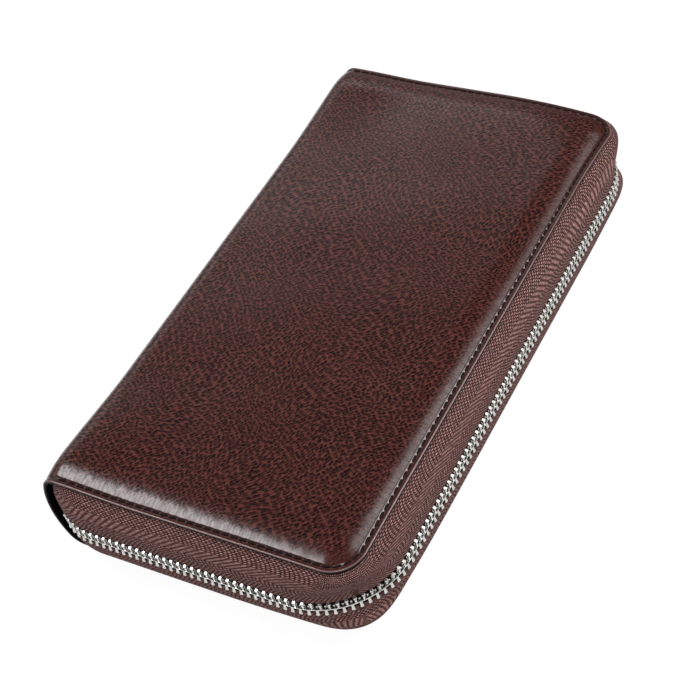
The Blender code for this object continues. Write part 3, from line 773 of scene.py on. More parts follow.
for word, side in SIDES:
    flat = rim(STITCH_INSET, CORNER_RADIUS - STITCH_INSET, fillet_x + SEAM_START, FINE)
    depth = half_depth - BORDER_DROP - GROOVE + STITCH_RADIUS / 2
    points, faces = sew(at_level(flat, mid_z + side * depth), np.array((0.0, 0.0, side)))
    stitches = put(f"{word}_stitches", settle(points, side), faces, THREAD, smooth=70)
    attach(stitches, f"{word}_half")
    tell(stitches)

# %% [markdown]
# ## Woven zip tape
# The tape has four bands: dots of plain weave next to the cover, long slanting floats made of thinner
# strands, dots again, and a second band of floats down to the teeth. Its threads are too small to model
# one by one, so the mesh carries the place along and across the tape and the slant, which differs
# between the long and the short sides, and a node group draws the dots and floats from that.

# %% Node group: banded weave
DOT_PITCH = 1.3
DOT_ROW = 0.55
FLOAT_PITCH = 2.1
FINE_FLOAT_PITCH = 1.4
STRAND_PITCH = 0.45
FIRST_FLOATS = 4.0
SECOND_DOTS = 6.9
SECOND_FLOATS = 9.2
WEAVE_END = 12.4
BAND_BLUR = 0.25


def wave(tree, value):
    """Rounded ridges, one for each whole number."""
    return calc(tree, "ABSOLUTE", calc(tree, "SINE", times(tree, value, math.pi)))


def banded_weave():
    inputs = [("Along mm", FLOAT, 0.0), ("Across mm", FLOAT, 0.0), ("Slant", FLOAT, 1.0)]
    outputs = [("Height", FLOAT), ("Fleck", FLOAT)]
    tree, given, out = group("banded_weave", inputs, outputs)
    along, across = given["Along mm"], given["Across mm"]
    row = times(tree, across, 1 / DOT_ROW)
    in_row = calc(tree, "MULTIPLY_ADD", calc(tree, "FLOOR", row), 0.5, times(tree, along, 1 / DOT_PITCH))
    dots = span(tree, times(tree, wave(tree, in_row), wave(tree, row)), 0.1, 0.9)
    slanted = calc(tree, "MULTIPLY_ADD", across, given["Slant"], along)
    strand = span(tree, wave(tree, times(tree, slanted, 1 / STRAND_PITCH)), 0.0, 0.6, 0.55, 1.0)
    floats = span(tree, wave(tree, times(tree, slanted, 1 / FLOAT_PITCH)), 0.35, 1.0, 0.15, 0.9)
    floats = times(tree, floats, strand)
    fine_floats = span(tree, wave(tree, times(tree, slanted, 1 / FINE_FLOAT_PITCH)), 0.3, 1.0, 0.1, 0.6)
    fine_floats = times(tree, fine_floats, strand)
    height = dots
    for low, shape in ((FIRST_FLOATS, floats), (SECOND_DOTS, dots), (SECOND_FLOATS, fine_floats)):
        here = span(tree, across, low - BAND_BLUR, low + BAND_BLUR)
        sockets = {0: here, 2: height, 3: shape}
        height = add(tree, "ShaderNodeMix", sockets, data_type="FLOAT").outputs[0]
    feed(tree, out["Height"], height)
    place = add(tree, "ShaderNodeCombineXYZ", {"X": slanted, "Y": times(tree, across, 2.5)})
    feed(tree, out["Fleck"], noise(tree, place.outputs[0], 0.9, 2.0).outputs["Fac"])
    return tree


BANDED_WEAVE = banded_weave()

# %% Finish: zip tape
def tape_finish():
    made, tree, shader = finish_of("zip_tape", roughness=0.6, specular=0.03)
    weave = parts_of(tree, field(tree, "weave"))
    along = times(tree, weave[0], 1 / MM)
    across = times(tree, weave[1], 1 / MM)
    woven = place_group(tree, BANDED_WEAVE, {"Along mm": along, "Across mm": across, "Slant": weave[2]})
    thread = tint(tree, span(tree, woven["Fleck"], 0.35, 0.65), (0.24, 0.122, 0.11), (0.6, 0.33, 0.3))
    colour = tint(tree, woven["Height"], (0.033, 0.016, 0.0145), thread)
    # Painted shade: the tape turns near black where it runs in under the teeth.
    colour = tint(tree, span(tree, across, WEAVE_END - 0.4, WEAVE_END), colour, (0.008, 0.005, 0.005))
    tree.links.new(colour, shader.inputs["Base Color"])
    relief(tree, shader, woven["Height"], 0.2 * MM)
    return made


TAPE_FINISH = tape_finish()

# %% [markdown]
# ## Zip tapes
# Each tape is sewn flat under a border, bows out past the edge and comes down to the teeth. Round the
# corners of the covers the chain cuts inside, so the tape there swells out under the cover first and
# then draws in. Both ends are tucked in behind the spine's edge.

# %% Path of the zip
TAPE = 0.8 * MM
FLANGE_WIDTH = 6.2 * MM
BEND_INSET = 1.2 * MM
TAPE_STRAIGHT = 1.4 * MM
CHAIN_HALF = 2.6 * MM
CHAIN_THICKNESS = 2.4 * MM
CHAIN_CORNERS = (24 * MM, 28 * MM)
CORNER_SWELL = 3
TUCK_DEPTH = 5 * MM
TUCK_START = 14 * MM
TUCK_END = 1.4 * MM
TAPE_COUNTS = (14, 64, 30, 110)

tape_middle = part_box("front_zip_tape")[1].z - mid_z - TAPE / 2
chain_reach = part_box("front_zip_teeth")[1].x - CHAIN_THICKNESS / 2 - half_width


def zip_half(reach, radius, end_x, tuck):
    """Path of the near half of the zip, from its end tucked in beside the spine to its middle."""
    tucked, along_x, round_corner, along_y = TAPE_COUNTS
    turn_x = TUCK_START - half_width
    x = half_width + reach - radius
    y = half_length + reach - radius
    share = np.linspace(1, 0, tucked, endpoint=False)
    angle = np.linspace(0, math.pi / 2, round_corner, endpoint=False)
    stretches = [
        (turn_x + (end_x - turn_x) * share, tuck * share**2 - y - radius),
        (np.linspace(turn_x, x, along_x, endpoint=False), np.full(along_x, -y - radius)),
        (x + radius * np.sin(angle), -y - radius * np.cos(angle)),
        (np.full(along_y + 1, x + radius), np.linspace(-y, 0, along_y + 1)),
    ]
    return np.concatenate([np.stack(stretch, -1) for stretch in stretches])


def zip_path(reach, radii, end_x, tuck):
    """Path round the three zip sides, with its own corner radius at the near and at the far end."""
    near, far = (zip_half(reach, radius, end_x, tuck) for radius in radii)
    return np.concatenate([near, far[-2::-1] * (1, -1)])


chain_end = TUCK_END - half_width
chain = zip_path(chain_reach, CHAIN_CORNERS, chain_end, TUCK_DEPTH)
chain_run = lengths(chain)
print("zip chain", round(chain_run[-1] / MM, 1), "mm long")

# %% Zip tapes
TAPE_EDGE = 1.7 * MM
TAPE_GAP = 0.3 * MM
FREE_EDGE = 0.35 * MM
FREE_RUN = 4 * MM
FLANGE_CORNER = 1 * MM
SHORT_SIDE_SLANT = 0.85
LONG_SIDE_SLANT = -1.5


def tape_section():
    """Rows across the tape, outer face then inner face: reach, depth, share of the way out, offset."""
    low = CHAIN_HALF + TAPE_GAP + TAPE_STRAIGHT
    reach_span = chain_reach + BEND_INSET
    drop = tape_middle - low
    faces = []
    for way, bend in ((1, 20), (-1, 10)):
        under_cover = np.linspace(-FLANGE_WIDTH, -2 * BEND_INSET, 3)
        rows = [(reach, tape_middle + way * TAPE / 2, 0.0, 0.0) for reach in under_cover]
        for angle in np.linspace(0, math.pi / 2, bend):
            share = math.sin(angle)
            normal = np.array((drop * share, reach_span * math.cos(angle)))
            normal *= way * TAPE / 2 / np.linalg.norm(normal)
            reach = share * reach_span - BEND_INSET + normal[0]
            rows.append((reach, low + drop * math.cos(angle) + normal[1], share, normal[0]))
        for depth in np.linspace(low, TAPE_EDGE, 5)[1:]:
            rows.append((chain_reach + way * TAPE / 2, depth, 1.0, way * TAPE / 2))
        faces.append(rows)
    return np.array(faces[0] + faces[1][::-1]), len(faces[0])


def zip_tape(side):
    section, outer_count = tape_section()
    start_radius = CORNER_RADIUS - BEND_INSET
    flange_end = fillet_x + SEAM_START
    columns = []
    for reach, depth, share, offset in section:
        swell = share**CORNER_SWELL
        radii = [start_radius + (corner - start_radius) * swell + offset for corner in CHAIN_CORNERS]
        if reach < -BEND_INSET - TAPE:
            radii = [max(CORNER_RADIUS + reach, FLANGE_CORNER)] * 2
        end_x = flange_end + (chain_end - flange_end) * share
        columns.append(at_level(zip_path(reach, radii, end_x, TUCK_DEPTH * share), depth))
    points = np.array(columns)
    past_stop = ease((stop_end - points[..., 0]) / FREE_RUN) * (points[..., 1] > 0)
    at_edge = ease((CHAIN_HALF + TAPE_STRAIGHT - points[..., 2]) / TAPE_STRAIGHT)
    points[..., 2] += past_stop * at_edge * (FREE_EDGE - TAPE_EDGE)
    points[..., 2] = mid_z + side * points[..., 2]
    across = lengths(section[:, :2])
    across = np.where(np.arange(len(section)) < outer_count, across, across[-1] - across)
    across = across - across[outer_count - 1] + lengths(section[:outer_count, :2])[-1] - FLANGE_WIDTH
    on_long_side = chain[:, 0] - half_width > np.abs(chain[:, 1]) - half_length
    slant = side * np.where(on_long_side, LONG_SIDE_SLANT, SHORT_SIDE_SLANT)
    weave = np.stack(np.broadcast_arrays(chain_run[:, None], across[None], slant[:, None]), -1)
    points, faces = tube(points.transpose(1, 0, 2))
    return settle(points, side), faces, {"weave": weave.reshape(-1, 3)}


slider_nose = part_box("zip_slider")[0].x
stop_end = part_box("front_zip_stop")[0].x
for word, side in SIDES:
    points, faces, fields = zip_tape(side)
    tape = put(f"{word}_tape", points, faces, TAPE_FINISH, fields, smooth=50)
    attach(tape, f"{word}_half")
    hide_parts(f"{word}_zip_tape")
    tell(tape)

# %% [markdown]
# ## Zip teeth
# A metal tooth is stamped from wire: two legs clamp the beaded edge of the tape, and the head between
# them locks between two heads of the other row. One tooth is lofted from rounded sections and set down
# at every pitch of the chain, so that the two rows mesh with half a pitch between them.

# %% Finish: bright nickel
def nickel_finish(name, roughness):
    made, tree, shader = finish_of(name, metallic=1.0)
    place = place_mm(tree)
    handled = noise(tree, place, 0.35, 4.0).outputs["Fac"]
    scratch = noise(tree, vector(tree, "MULTIPLY", place, (0.4, 2.5, 2.5)), 2.0, 4.0).outputs["Fac"]
    tarnish = span(tree, handled, 0.45, 0.7)
    tree.links.new(tint(tree, tarnish, (0.64, 0.63, 0.6), (0.52, 0.51, 0.48)), shader.inputs["Base Color"])
    tree.links.new(calc(tree, "MULTIPLY_ADD", scratch, 0.16, roughness), shader.inputs["Roughness"])
    relief(tree, shader, scratch, 0.01 * MM)
    return made


TEETH_FINISH = nickel_finish("zip_teeth_nickel", 0.2)

# %% Zip teeth
TOOTH_PITCH = 2.33 * MM
TOOTH_SIDES = 14
CAP_SLOPE = math.radians(15)
INSIDE_SLIDER = 6 * MM


def loft_tooth(stations):
    """Rounded bar through stations of (depth, half width, low, high)."""
    angle = np.linspace(0, 2 * math.pi, TOOTH_SIDES, endpoint=False) + math.pi / TOOTH_SIDES
    round_x = np.sign(np.cos(angle)) * np.abs(np.cos(angle)) ** 0.7
    round_y = np.sign(np.sin(angle)) * np.abs(np.sin(angle)) ** 0.7
    rows = []
    for depth, half, low, high in np.array(stations) * MM:
        out = (low + high) / 2 + (high - low) / 2 * round_y
        rows.append(np.stack([half * round_x, out, np.full(TOOTH_SIDES, depth)], -1))
    return tube(rows)


def tooth_shape():
    """One tooth: along the chain, out of it and from the middle plane to its own tape."""
    leg = [(2.45, 0.36, 0.5, 1.14), (2.45, 0.48, 0.42, 1.24), (2.38, 0.55, 0.42, 1.3)]
    leg += [(2.0, 0.56, 0.42, 1.3), (1.75, 0.46, 0.42, 1.2), (1.2, 0.43, 0.42, 1.08)]
    leg += [(0.6, 0.4, 0.42, 0.98), (0.35, 0.34, 0.42, 0.92)]
    head = [(1.7, 0.3, -0.4, 0.4), (1.5, 0.38, -0.44, 0.44), (0.2, 0.4, -0.4, 0.4)]
    head += [(-0.6, 0.36, -0.36, 0.36), (-0.8, 0.24, -0.24, 0.24)]
    outer, faces = loft_tooth(leg)
    near_top = np.clip((outer[:, 2] - 1.95 * MM) / (0.4 * MM), 0, 1)
    outer[:, 2] -= near_top * math.tan(CAP_SLOPE) * (outer[:, 1] - 0.42 * MM)
    section = np.array([(0.45, 0.2), (1.08, 0.2 - 0.63 * math.tan(CAP_SLOPE)), (1.08, -0.2), (0.45, -0.2)])
    nib = tube([np.column_stack([np.full(4, x), section]) * MM for x in (-0.9, 0.9)])
    return merge((outer, faces), (outer * (1, -1, 1), faces), loft_tooth(head), nib)


def tooth_row(side):
    first = TOOTH_PITCH * (1.0 if side == FRONT else 1.5) + TOOTH_PITCH / 4
    stop = np.interp(-(slider_nose + INSIDE_SLIDER), -chain[-100:, 0], chain_run[-100:])
    places, ways = along_path(chain, chain_run, np.arange(first, stop, TOOTH_PITCH))
    turns = [np.array([(x, y, 0), (y, -x, 0), (0, 0, side)]) for x, y in ways]
    return repeat(*tooth_shape(), at_level(places, mid_z), turns)


for word, side in SIDES:
    teeth = put(f"{word}_teeth", *tooth_row(side), TEETH_FINISH, smooth=50)
    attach(teeth, f"{word}_half")
    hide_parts(f"{word}_zip_teeth")
    tell(teeth)

# %% [markdown]
# ## Slider, pull and end stops
# The slider is a die casting: two shield-shaped plates, a wedge that parts the rows, turned-in lips that
# guide them, and a bail on top that holds the pull. Flat parts with soft edges make all of it, so one
# helper draws an outline with rounded corners and another lifts it to a plate with rounded edges.

# %% Tools for small metal parts
MOST_CUT = 0.48


def rounded(corners, radius, steps=6):
    """Closed outline through corners, each cut back and rounded."""
    corners = np.array(corners, float)
    share = np.linspace(0, 1, steps)[:, None]
    outline = []
    for before, here, after in zip(np.roll(corners, 1, 0), corners, np.roll(corners, -1, 0)):
        sides = (before - here, after - here)
        start, end = (here + way * min(radius / np.linalg.norm(way), MOST_CUT) for way in sides)
        outline.append((1 - share) ** 2 * start + 2 * share * (1 - share) * here + share**2 * end)
    return np.concatenate(outline)


def ribbon(path, thickness):
    """Closed outline of a bent strip with round ends, from the path of its middle."""
    way = np.gradient(path, axis=0)
    way *= thickness / 2 / np.linalg.norm(way, axis=1)[:, None]
    aside = np.stack([-way[:, 1], way[:, 0]], -1)
    angle = np.linspace(0, math.pi, 7)[1:-1, None]
    tip = path[-1] + np.cos(angle) * aside[-1] + np.sin(angle) * way[-1]
    tail = path[0] - np.cos(angle) * aside[0] - np.sin(angle) * way[0]
    return np.concatenate([path + aside, tip, (path - aside)[::-1], tail])


def edge_rings(outline, thickness, edge):
    """Rings of a plate that stands on an outline, with both its edges rounded."""
    x, y = outline.T
    if np.sum(x * np.roll(y, -1) - y * np.roll(x, -1)) < 0:
        outline = outline[::-1]
    way = np.roll(outline, -1, 0) - np.roll(outline, 1, 0)
    inward = np.stack([-way[:, 1], way[:, 0]], -1) / np.linalg.norm(way, axis=1)[:, None]
    angle = np.linspace(0, math.pi / 2, 4)
    cut = edge * (1 - np.sin(angle))
    rise = edge * (1 - np.cos(angle))
    rows = zip([*cut, *cut[::-1]], [*rise, *(thickness - rise[::-1])])
    return [at_level(outline + inward * inset, level) for inset, level in rows]


def plate(outline, low, high, edge):
    points, faces = tube(edge_rings(outline, high - low, edge))
    return points + (0, 0, low), faces


# %% Slider
NICKEL = nickel_finish("zip_fitting_nickel", 0.14)
chain_y = half_length + chain_reach
slider_x = (slider_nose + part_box("zip_slider")[1].x) / 2


def mirrored(shape, scale):
    return shape[0] * scale, shape[1]


def slider_shape():
    """Along the chain, across it, and out from its middle."""
    half = np.array([(5.5, 3.65), (-3.2, 4.55), (-4.7, 4.55), (-5.5, 3.6), (-5.0, 0.0)]) * MM
    shield = rounded(np.concatenate([half, half[-2::-1] * (1, -1)]), 0.8 * MM)
    wedge = np.array([(-4.6, 1.1), (-4.6, -1.1), (-1.9, -0.2), (-1.9, 0.2)]) * MM
    lip = rounded(np.array([(-0.4, 2.85), (4.8, 2.85), (4.8, 3.65), (-0.4, 3.75)]) * MM, 0.3 * MM)
    arch = np.array([(-3.1, 2.0), (-3.1, 3.3), (-2.9, 4.1), (-2.2, 4.6), (-1.2, 4.65), (0, 4.65)]) * MM
    arch = np.concatenate([arch, arch[-2::-1] * (-1, 1)])
    bail, bail_faces = plate(ribbon(arch, 1.0 * MM), -0.6 * MM, 0.6 * MM, 0.3 * MM)
    top = plate(shield, 1.45 * MM, 2.35 * MM, 0.35 * MM)
    guide = plate(lip, 0.8 * MM, 1.9 * MM, 0.25 * MM)
    parter = plate(rounded(wedge, 0.4 * MM), -1.7 * MM, 1.7 * MM, 0.1 * MM)
    shapes = [top, mirrored(top, (1, 1, -1)), parter]
    shapes += [mirrored(guide, (1, a, b)) for a in (1, -1) for b in (1, -1)]
    return merge(*shapes, (bail[:, [0, 2, 1]], bail_faces))


points, faces = slider_shape()
slider = put("slider", points[:, [0, 2, 1]] + (slider_x, chain_y, mid_z), faces, NICKEL)
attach(slider, "slider")
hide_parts("zip_slider")
tell(slider)

# %% Pull
PULL_THICKNESS = 1.0 * MM


def pull_shape():
    """A tab with an eye: along it from the eye's bar, across it, and through its thickness."""
    half = np.array([(-0.5, -2.3), (5.6, -2.3), (8.4, -3.2), (24.0, -3.2)]) * MM
    outline = rounded(np.concatenate([half, half[::-1] * (1, -1)]), 1.5 * MM, 10)
    centre = np.array((2.55, 0.0)) * MM
    way = (outline - centre) / np.linalg.norm(outline - centre, axis=1)[:, None]
    eye = centre + way / np.sum((np.abs(way) / (2.05 * MM, 1.0 * MM)) ** 4, axis=1)[:, None] ** 0.25
    outside = edge_rings(outline, PULL_THICKNESS, 0.3 * MM)
    inside = edge_rings(eye, PULL_THICKNESS, 0.0)
    inside = [ring * (1, 1, -1) + (0, 0, PULL_THICKNESS) for ring in inside]
    flare = (0.3, 0.15, 0.05, 0.0)
    for ring, grow in zip(inside, (*flare, *flare[::-1])):
        ring[:, :2] += way * grow * MM
    rings = np.array(outside + inside)
    table = numbers(rings.shape[:2])
    return rings.reshape(-1, 3), quads(np.concatenate([table, table[:1]]), closed=True)


points, faces = pull_shape()
axis_y = (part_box("zip_pull")[0].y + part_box("zip_pull")[1].y) / 2
place = (slider_x, axis_y - PULL_THICKNESS / 2, mid_z)
pull = put("pull", points[:, [0, 2, 1]] + place, faces, NICKEL)
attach(pull, "pull")
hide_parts("zip_pull")
tell(pull)

# %% End stops
STOP_LENGTH = 2 * MM
STOP_WIRE = 0.6 * MM

for word, side in SIDES:
    clip = np.array([(-1.0, 3.6), (-1.0, 2.7), (-0.8, 2.4), (-0.4, 2.3), (0.0, 2.3)]) * MM
    clip = ribbon(np.concatenate([clip, clip[-2::-1] * (-1, 1)]), STOP_WIRE)
    points, faces = plate(clip, stop_end, stop_end + STOP_LENGTH, 0.2 * MM)
    points = points[:, [2, 0, 1]] * (1, 1, side) + (0, chain_y, mid_z)
    clamp = put(f"{word}_stop", settle(points, side), faces, NICKEL)
    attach(clamp, f"{word}_half")
    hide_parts(f"{word}_zip_stop")
    tell(clamp)

# %% [markdown]
# ## Inside: finishes
# Nobody sees the inside in the picture, so it follows what such wallets have: a thin lining leather,
# card pockets of a slightly glossier leather, and a centre pocket of twill. The two leathers place the
# same grain group with their own cell size and less contrast. The foam and the board only show in a cut.

# %% Finishes of the inside
def thin_leather(name, colour, cell, roughness):
    made, tree, shader = finish_of(name, specular=0.4)
    grain = place_group(tree, HIDE_GRAIN, {"Hide": field(tree, "hide"), "Cell mm": cell, "Lean": 0.5})
    body = tint(tree, span(tree, grain["Patch"], 0.35, 0.65), colour, darker(colour, 0.75))
    pit = times(tree, grain["Pit"], 0.6)
    tree.links.new(tint(tree, pit, body, darker(colour, 0.35)), shader.inputs["Base Color"])
    tree.links.new(calc(tree, "MULTIPLY_ADD", pit, 0.2, roughness), shader.inputs["Roughness"])
    relief(tree, shader, grain["Height"], 0.05 * MM)
    return made


def twill_finish():
    made, tree, shader = finish_of("pocket_twill", roughness=0.8, specular=0.2)
    weave = parts_of(tree, vector(tree, "SCALE", field(tree, "weave"), 1 / MM))
    rib = wave(tree, calc(tree, "DIVIDE", calc(tree, "ADD", weave[0], weave[1]), 0.8))
    thread = wave(tree, calc(tree, "DIVIDE", calc(tree, "SUBTRACT", weave[0], weave[1]), 0.45))
    height = times(tree, rib, calc(tree, "MULTIPLY_ADD", thread, 0.4, 0.6))
    colour = tint(tree, height, (0.018, 0.009, 0.008), (0.085, 0.05, 0.043))
    tree.links.new(colour, shader.inputs["Base Color"])
    relief(tree, shader, height, 0.08 * MM)
    return made


def plain_finish(name, dark, pale, grain, depth):
    """Foam or board: mottled, rough, with a fine unevenness stretched by grain."""
    made, tree, shader = finish_of(name, roughness=0.9, specular=0.2)
    fleck = noise(tree, vector(tree, "MULTIPLY", place_mm(tree), grain), 1.5, 4.0, 0.65).outputs["Fac"]
    tree.links.new(tint(tree, span(tree, fleck, 0.35, 0.65), dark, pale), shader.inputs["Base Color"])
    relief(tree, shader, fleck, depth)
    return made


LINING = thin_leather("lining_leather", (0.07, 0.032, 0.026), 0.9, 0.5)
POCKET = thin_leather("pocket_leather", (0.085, 0.03, 0.025), 1.2, 0.36)
TWILL = twill_finish()
FOAM = plain_finish("foam_sheet", (0.62, 0.58, 0.5), (0.78, 0.75, 0.68), (1, 1, 1), 0.15 * MM)
BOARD = plain_finish("stiffener_board", (0.36, 0.28, 0.2), (0.5, 0.41, 0.3), (0.3, 1.6, 1.6), 0.05 * MM)

# %% [markdown]
# ## Inside: lining, foam and board
# The lining is a skin like the cover, cut a little smaller and bent over the same fold. Under the cover
# lie a foam pad, which fills the crown, and a board that keeps the cover flat. Both are flat panels with
# rounded outer corners, drawn as a grid with an upper and a lower depth.

# %% Linings
LINING_CORNER = 14.4 * MM
LINING_RISE = 1.15 * MM


def lining_skin(side):
    edge = np.array([(12, 2.7), (8, 2.7), (5, 2.7), (2.9, 2.7), (2.5, 2.78), (2.4, 2.95), (2.4, 3.25)])
    edge = np.concatenate([edge, [(2.5, 3.42), (2.9, 3.5), (5, 3.5), (8, 3.5), (12, 3.5)]]) * MM
    stations = len(rim(0, CORNER_RADIUS, fillet_x, FINE))
    drops = np.repeat(edge[:, 1:], stations, 1)

    def flat_at(depth):
        return lambda flat: np.full(flat.shape[:2], depth)

    faces_at = flat_at(edge[0, 1]), flat_at(edge[-1, 1])
    undyed = np.zeros(len(edge))
    return book_skin(side, edge[:, 0], drops, *faces_at, LINING_CORNER, undyed, edge[:, 1] - LINING_RISE)


for word, side in SIDES:
    points, faces, fields = lining_skin(side)
    lining = put(f"{word}_inner_lining", points, faces, LINING, fields, smooth=60)
    bend_over_fold(lining, side)
    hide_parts(f"{word}_lining", "spine_lining")
    tell(lining)

# %% Flat panels
RIM_ROUND = 0.25 * MM


def close_rows(low, high, count, lines=()):
    """Places from low to high, closer together at both ends and beside each line."""
    ends = np.array((0, 0.08, 0.25)) * MM
    beside = np.array((-0.9, -0.5, -0.25, 0, 0.25, 0.5, 0.9)) * MM
    places = [np.linspace(low + MM, high - MM, count), low + ends, high - ends]
    return np.unique(np.round(np.concatenate(places + [line + beside for line in lines]), 6))


def panel(x, y, radius):
    """Grid of places in x and y, with the two corners at the high end of x rounded."""
    over = np.clip(x - x[-1] + radius, 0, radius)
    reach = 1 - (radius - np.sqrt(radius**2 - over**2)) / y[-1]
    return np.stack(np.broadcast_arrays(x[:, None], reach[:, None] * y[None]), -1)


def rim_share(flat):
    """From 0 at the rim of a panel to 1 where its rounded edge ends."""
    x, y = flat[..., 0], np.abs(flat[..., 1])
    inside = np.minimum(np.minimum(x - x[:1], x[-1:] - x), y[:, -1:] - y)
    return np.sqrt(1 - (1 - np.clip(inside / RIM_ROUND, 0, 1)) ** 2)


def slab(flat, high, low, side):
    """Points, faces and fields of a panel between two tables of depths."""
    top = numbers(flat.shape[:2])
    around = np.concatenate([top[0, :-1], top[:-1, -1], top[-1, :0:-1], top[:0:-1, 0]])
    faces = quads(top) + quads(top + top.size) + quads(np.array([around, around + top.size]), closed=True)
    plan = np.tile(flat.reshape(-1, 2), (2, 1))
    depth = np.concatenate([high.ravel(), low.ravel()])
    points = settle(np.column_stack([plan, mid_z + side * depth]), side)
    return points, faces, {"hide": np.column_stack([plan, np.zeros(len(plan))])}


# %% Foam pads and boards
FOAM_LIP = 0.1 * MM
FOAM_GAP = 0.05 * MM
FOAM_RAMP = 0.45
FOAM_CORNER = 6 * MM
BOARD_INSET = 6.5 * MM
BOARD_HALF = 0.4 * MM
BOARD_CORNER = 5 * MM


def foam_pad(side):
    x = close_rows(fillet_x + 2 * MM, half_width - FOAM_INSET, 40)
    y = close_rows(FOAM_INSET - half_length, half_length - FOAM_INSET, 70)
    flat = panel(x, y, FOAM_CORNER)
    inset = np.minimum(half_width - flat[..., 0], half_length - np.abs(flat[..., 1]))
    foot = half_depth - LEATHER
    under_leather = foot - cover_drop(flat[..., 0], flat[..., 1], inset, 0.0) - FOAM_GAP
    ramp = FOAM_RAMP * (flat[..., 0] - x[0])
    rise = np.clip(np.minimum(under_leather - foot - FOAM_LIP, ramp), 0, None)
    high = foot + FOAM_LIP + rise * rim_share(flat)
    return slab(flat, high, np.full(high.shape, foot), side)


def board_panel(side):
    x = close_rows(fillet_x + 0.3 * MM, half_width - BOARD_INSET, 30)
    y = close_rows(BOARD_INSET - half_length, half_length - BOARD_INSET, 50)
    flat = panel(x, y, BOARD_CORNER)
    swell = BOARD_HALF * (0.4 + 0.6 * rim_share(flat))
    return slab(flat, tape_middle + swell, tape_middle - swell, side)


for word, side in SIDES:
    points, faces, _ = foam_pad(side)
    foam = put(f"{word}_foam", points, faces, FOAM)
    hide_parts(f"{word}_padding")
    points, faces, _ = board_panel(side)
    board = put(f"{word}_stiffener", points, faces, BOARD)
    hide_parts(f"{word}_board")
    for piece in (foam, board):
        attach(piece, f"{word}_half")
    tell(foam, board)

# %% [markdown]
# ## Inside: card pockets
# Three pieces of leather lie on each lining, each shorter than the one under it, so that their edges
# form steps for cards. A crease is pressed along each open edge, and one seam down the middle and one
# at each side sew them down. The leather dips into the seam and is full between.

# %% Card pockets
POCKET_LEFT = -45.1 * MM
POCKET_HALF = 86 * MM
POCKET_CORNER = 3 * MM
POCKET_THICK_HALF = 0.3 * MM
POCKET_LENGTH_MM, STEP_MM = 76, 13
POCKET_FACE_MM, LAYER_MM = 10.35, 0.9
CREASE = 2.4 * MM
CREASE_HALF = 0.28 * MM
SIDE_SEAM = 84.2 * MM
SEAM_HALF = 0.5 * MM
SEAM_SINK = 0.1 * MM
PRESSED = 0.14 * MM


def pocket_right(step):
    return POCKET_LEFT + (POCKET_LENGTH_MM - STEP_MM * step) * MM


def pocket_face(step):
    """Depth of a pocket's visible face."""
    return (POCKET_FACE_MM - LAYER_MM * step) * MM


def card_pocket(step, side):
    right = pocket_right(step)
    x = close_rows(POCKET_LEFT, right, 36, (right - CREASE,))
    y = close_rows(-POCKET_HALF, POCKET_HALF, 60, (-SIDE_SEAM, 0, SIDE_SEAM))
    flat = panel(x, y, POCKET_CORNER)
    seam = bell(flat[..., 1], SEAM_HALF)
    seam += bell(np.abs(flat[..., 1]) - SIDE_SEAM, SEAM_HALF)
    crease = bell(flat[..., 0] - right + CREASE, CREASE_HALF)
    middle = pocket_face(step) + POCKET_THICK_HALF
    swell = POCKET_THICK_HALF * (0.35 + 0.65 * rim_share(flat))
    return slab(flat, middle + swell, middle - swell + PRESSED * np.maximum(seam, crease), side)


for word, side in SIDES:
    for step in range(3):
        points, faces, fields = card_pocket(step, side)
        pocket = put(f"{word}_pocket_{step + 1}", points, faces, POCKET, fields)
        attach(pocket, f"{word}_half")
        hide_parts(f"{word}_card_pocket_{step + 1}")
    rows = []
    for step in range(3):
        start = POCKET_LEFT if step == 2 else pocket_right(step + 1)
        for y in (-SIDE_SEAM, 0, SIDE_SEAM):
            depth = mid_z + side * (pocket_face(step) + SEAM_SINK)
            ends = np.array([(start + MM, y, depth), (pocket_right(step) - MM, y, depth)])
            rows.append(sew(ends, np.array((0.0, 0.0, -side))))
    points, faces = merge(*rows)
    seams = put(f"{word}_pocket_stitches", settle(points, side), faces, THREAD, smooth=70)
    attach(seams, f"{word}_half")
    tell(pocket, seams)

# %% [markdown]
# ## Inside: centre pocket
# One length of twill is folded at the spine into a pocket that opens towards the zip, and a leather
# tape folded round each short edge closes its ends. Both are a bent strip in section, pulled straight
# through, so the outline helper of the bail draws them too.

# %% Centre pocket
CLOTH = 0.8 * MM
RIPPLE = 0.1 * MM
RIPPLE_START, RIPPLE_RUN = 5 * MM, 33 * MM
RIPPLE_WAVE = 0.085
cloth_low, cloth_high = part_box("centre_pocket")
cloth_depth = (cloth_high.z - cloth_low.z) / 2 - CLOTH / 2
turn = np.linspace(math.pi / 2, 3 * math.pi / 2, 17)
bend_x = cloth_low.x + CLOTH / 2 + cloth_depth
straight = np.linspace(cloth_high.x - CLOTH / 2, bend_x, 40, endpoint=False)
upper = np.column_stack([straight, np.full(len(straight), cloth_depth)])
fold = np.column_stack([bend_x + cloth_depth * np.cos(turn), cloth_depth * np.sin(turn)])
middle = np.concatenate([upper, fold, upper[::-1] * (1, -1)])
section = ribbon(middle, CLOTH)
way_in = np.argmin(np.linalg.norm(section[:, None] - middle[None], axis=2), axis=1)
cloth_along = lengths(middle)[way_in]
rings = []
for y in close_rows(cloth_low.y, cloth_high.y, 60):
    near_mouth = ease((section[:, 0] - RIPPLE_START) / RIPPLE_RUN)
    ripple = RIPPLE * near_mouth * math.sin(y / MM * RIPPLE_WAVE) * np.sign(section[:, 1])
    rings.append(np.column_stack([section[:, 0], np.full(len(section), y), mid_z + section[:, 1] + ripple]))
points, faces = tube(rings)
weave = np.column_stack([np.tile(cloth_along, len(rings)), points[:, 1], np.zeros(len(points))])
cloth = put("centre_pocket_cloth", points, faces, TWILL, {"weave": weave})
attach(cloth, "spine")
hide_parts("centre_pocket")

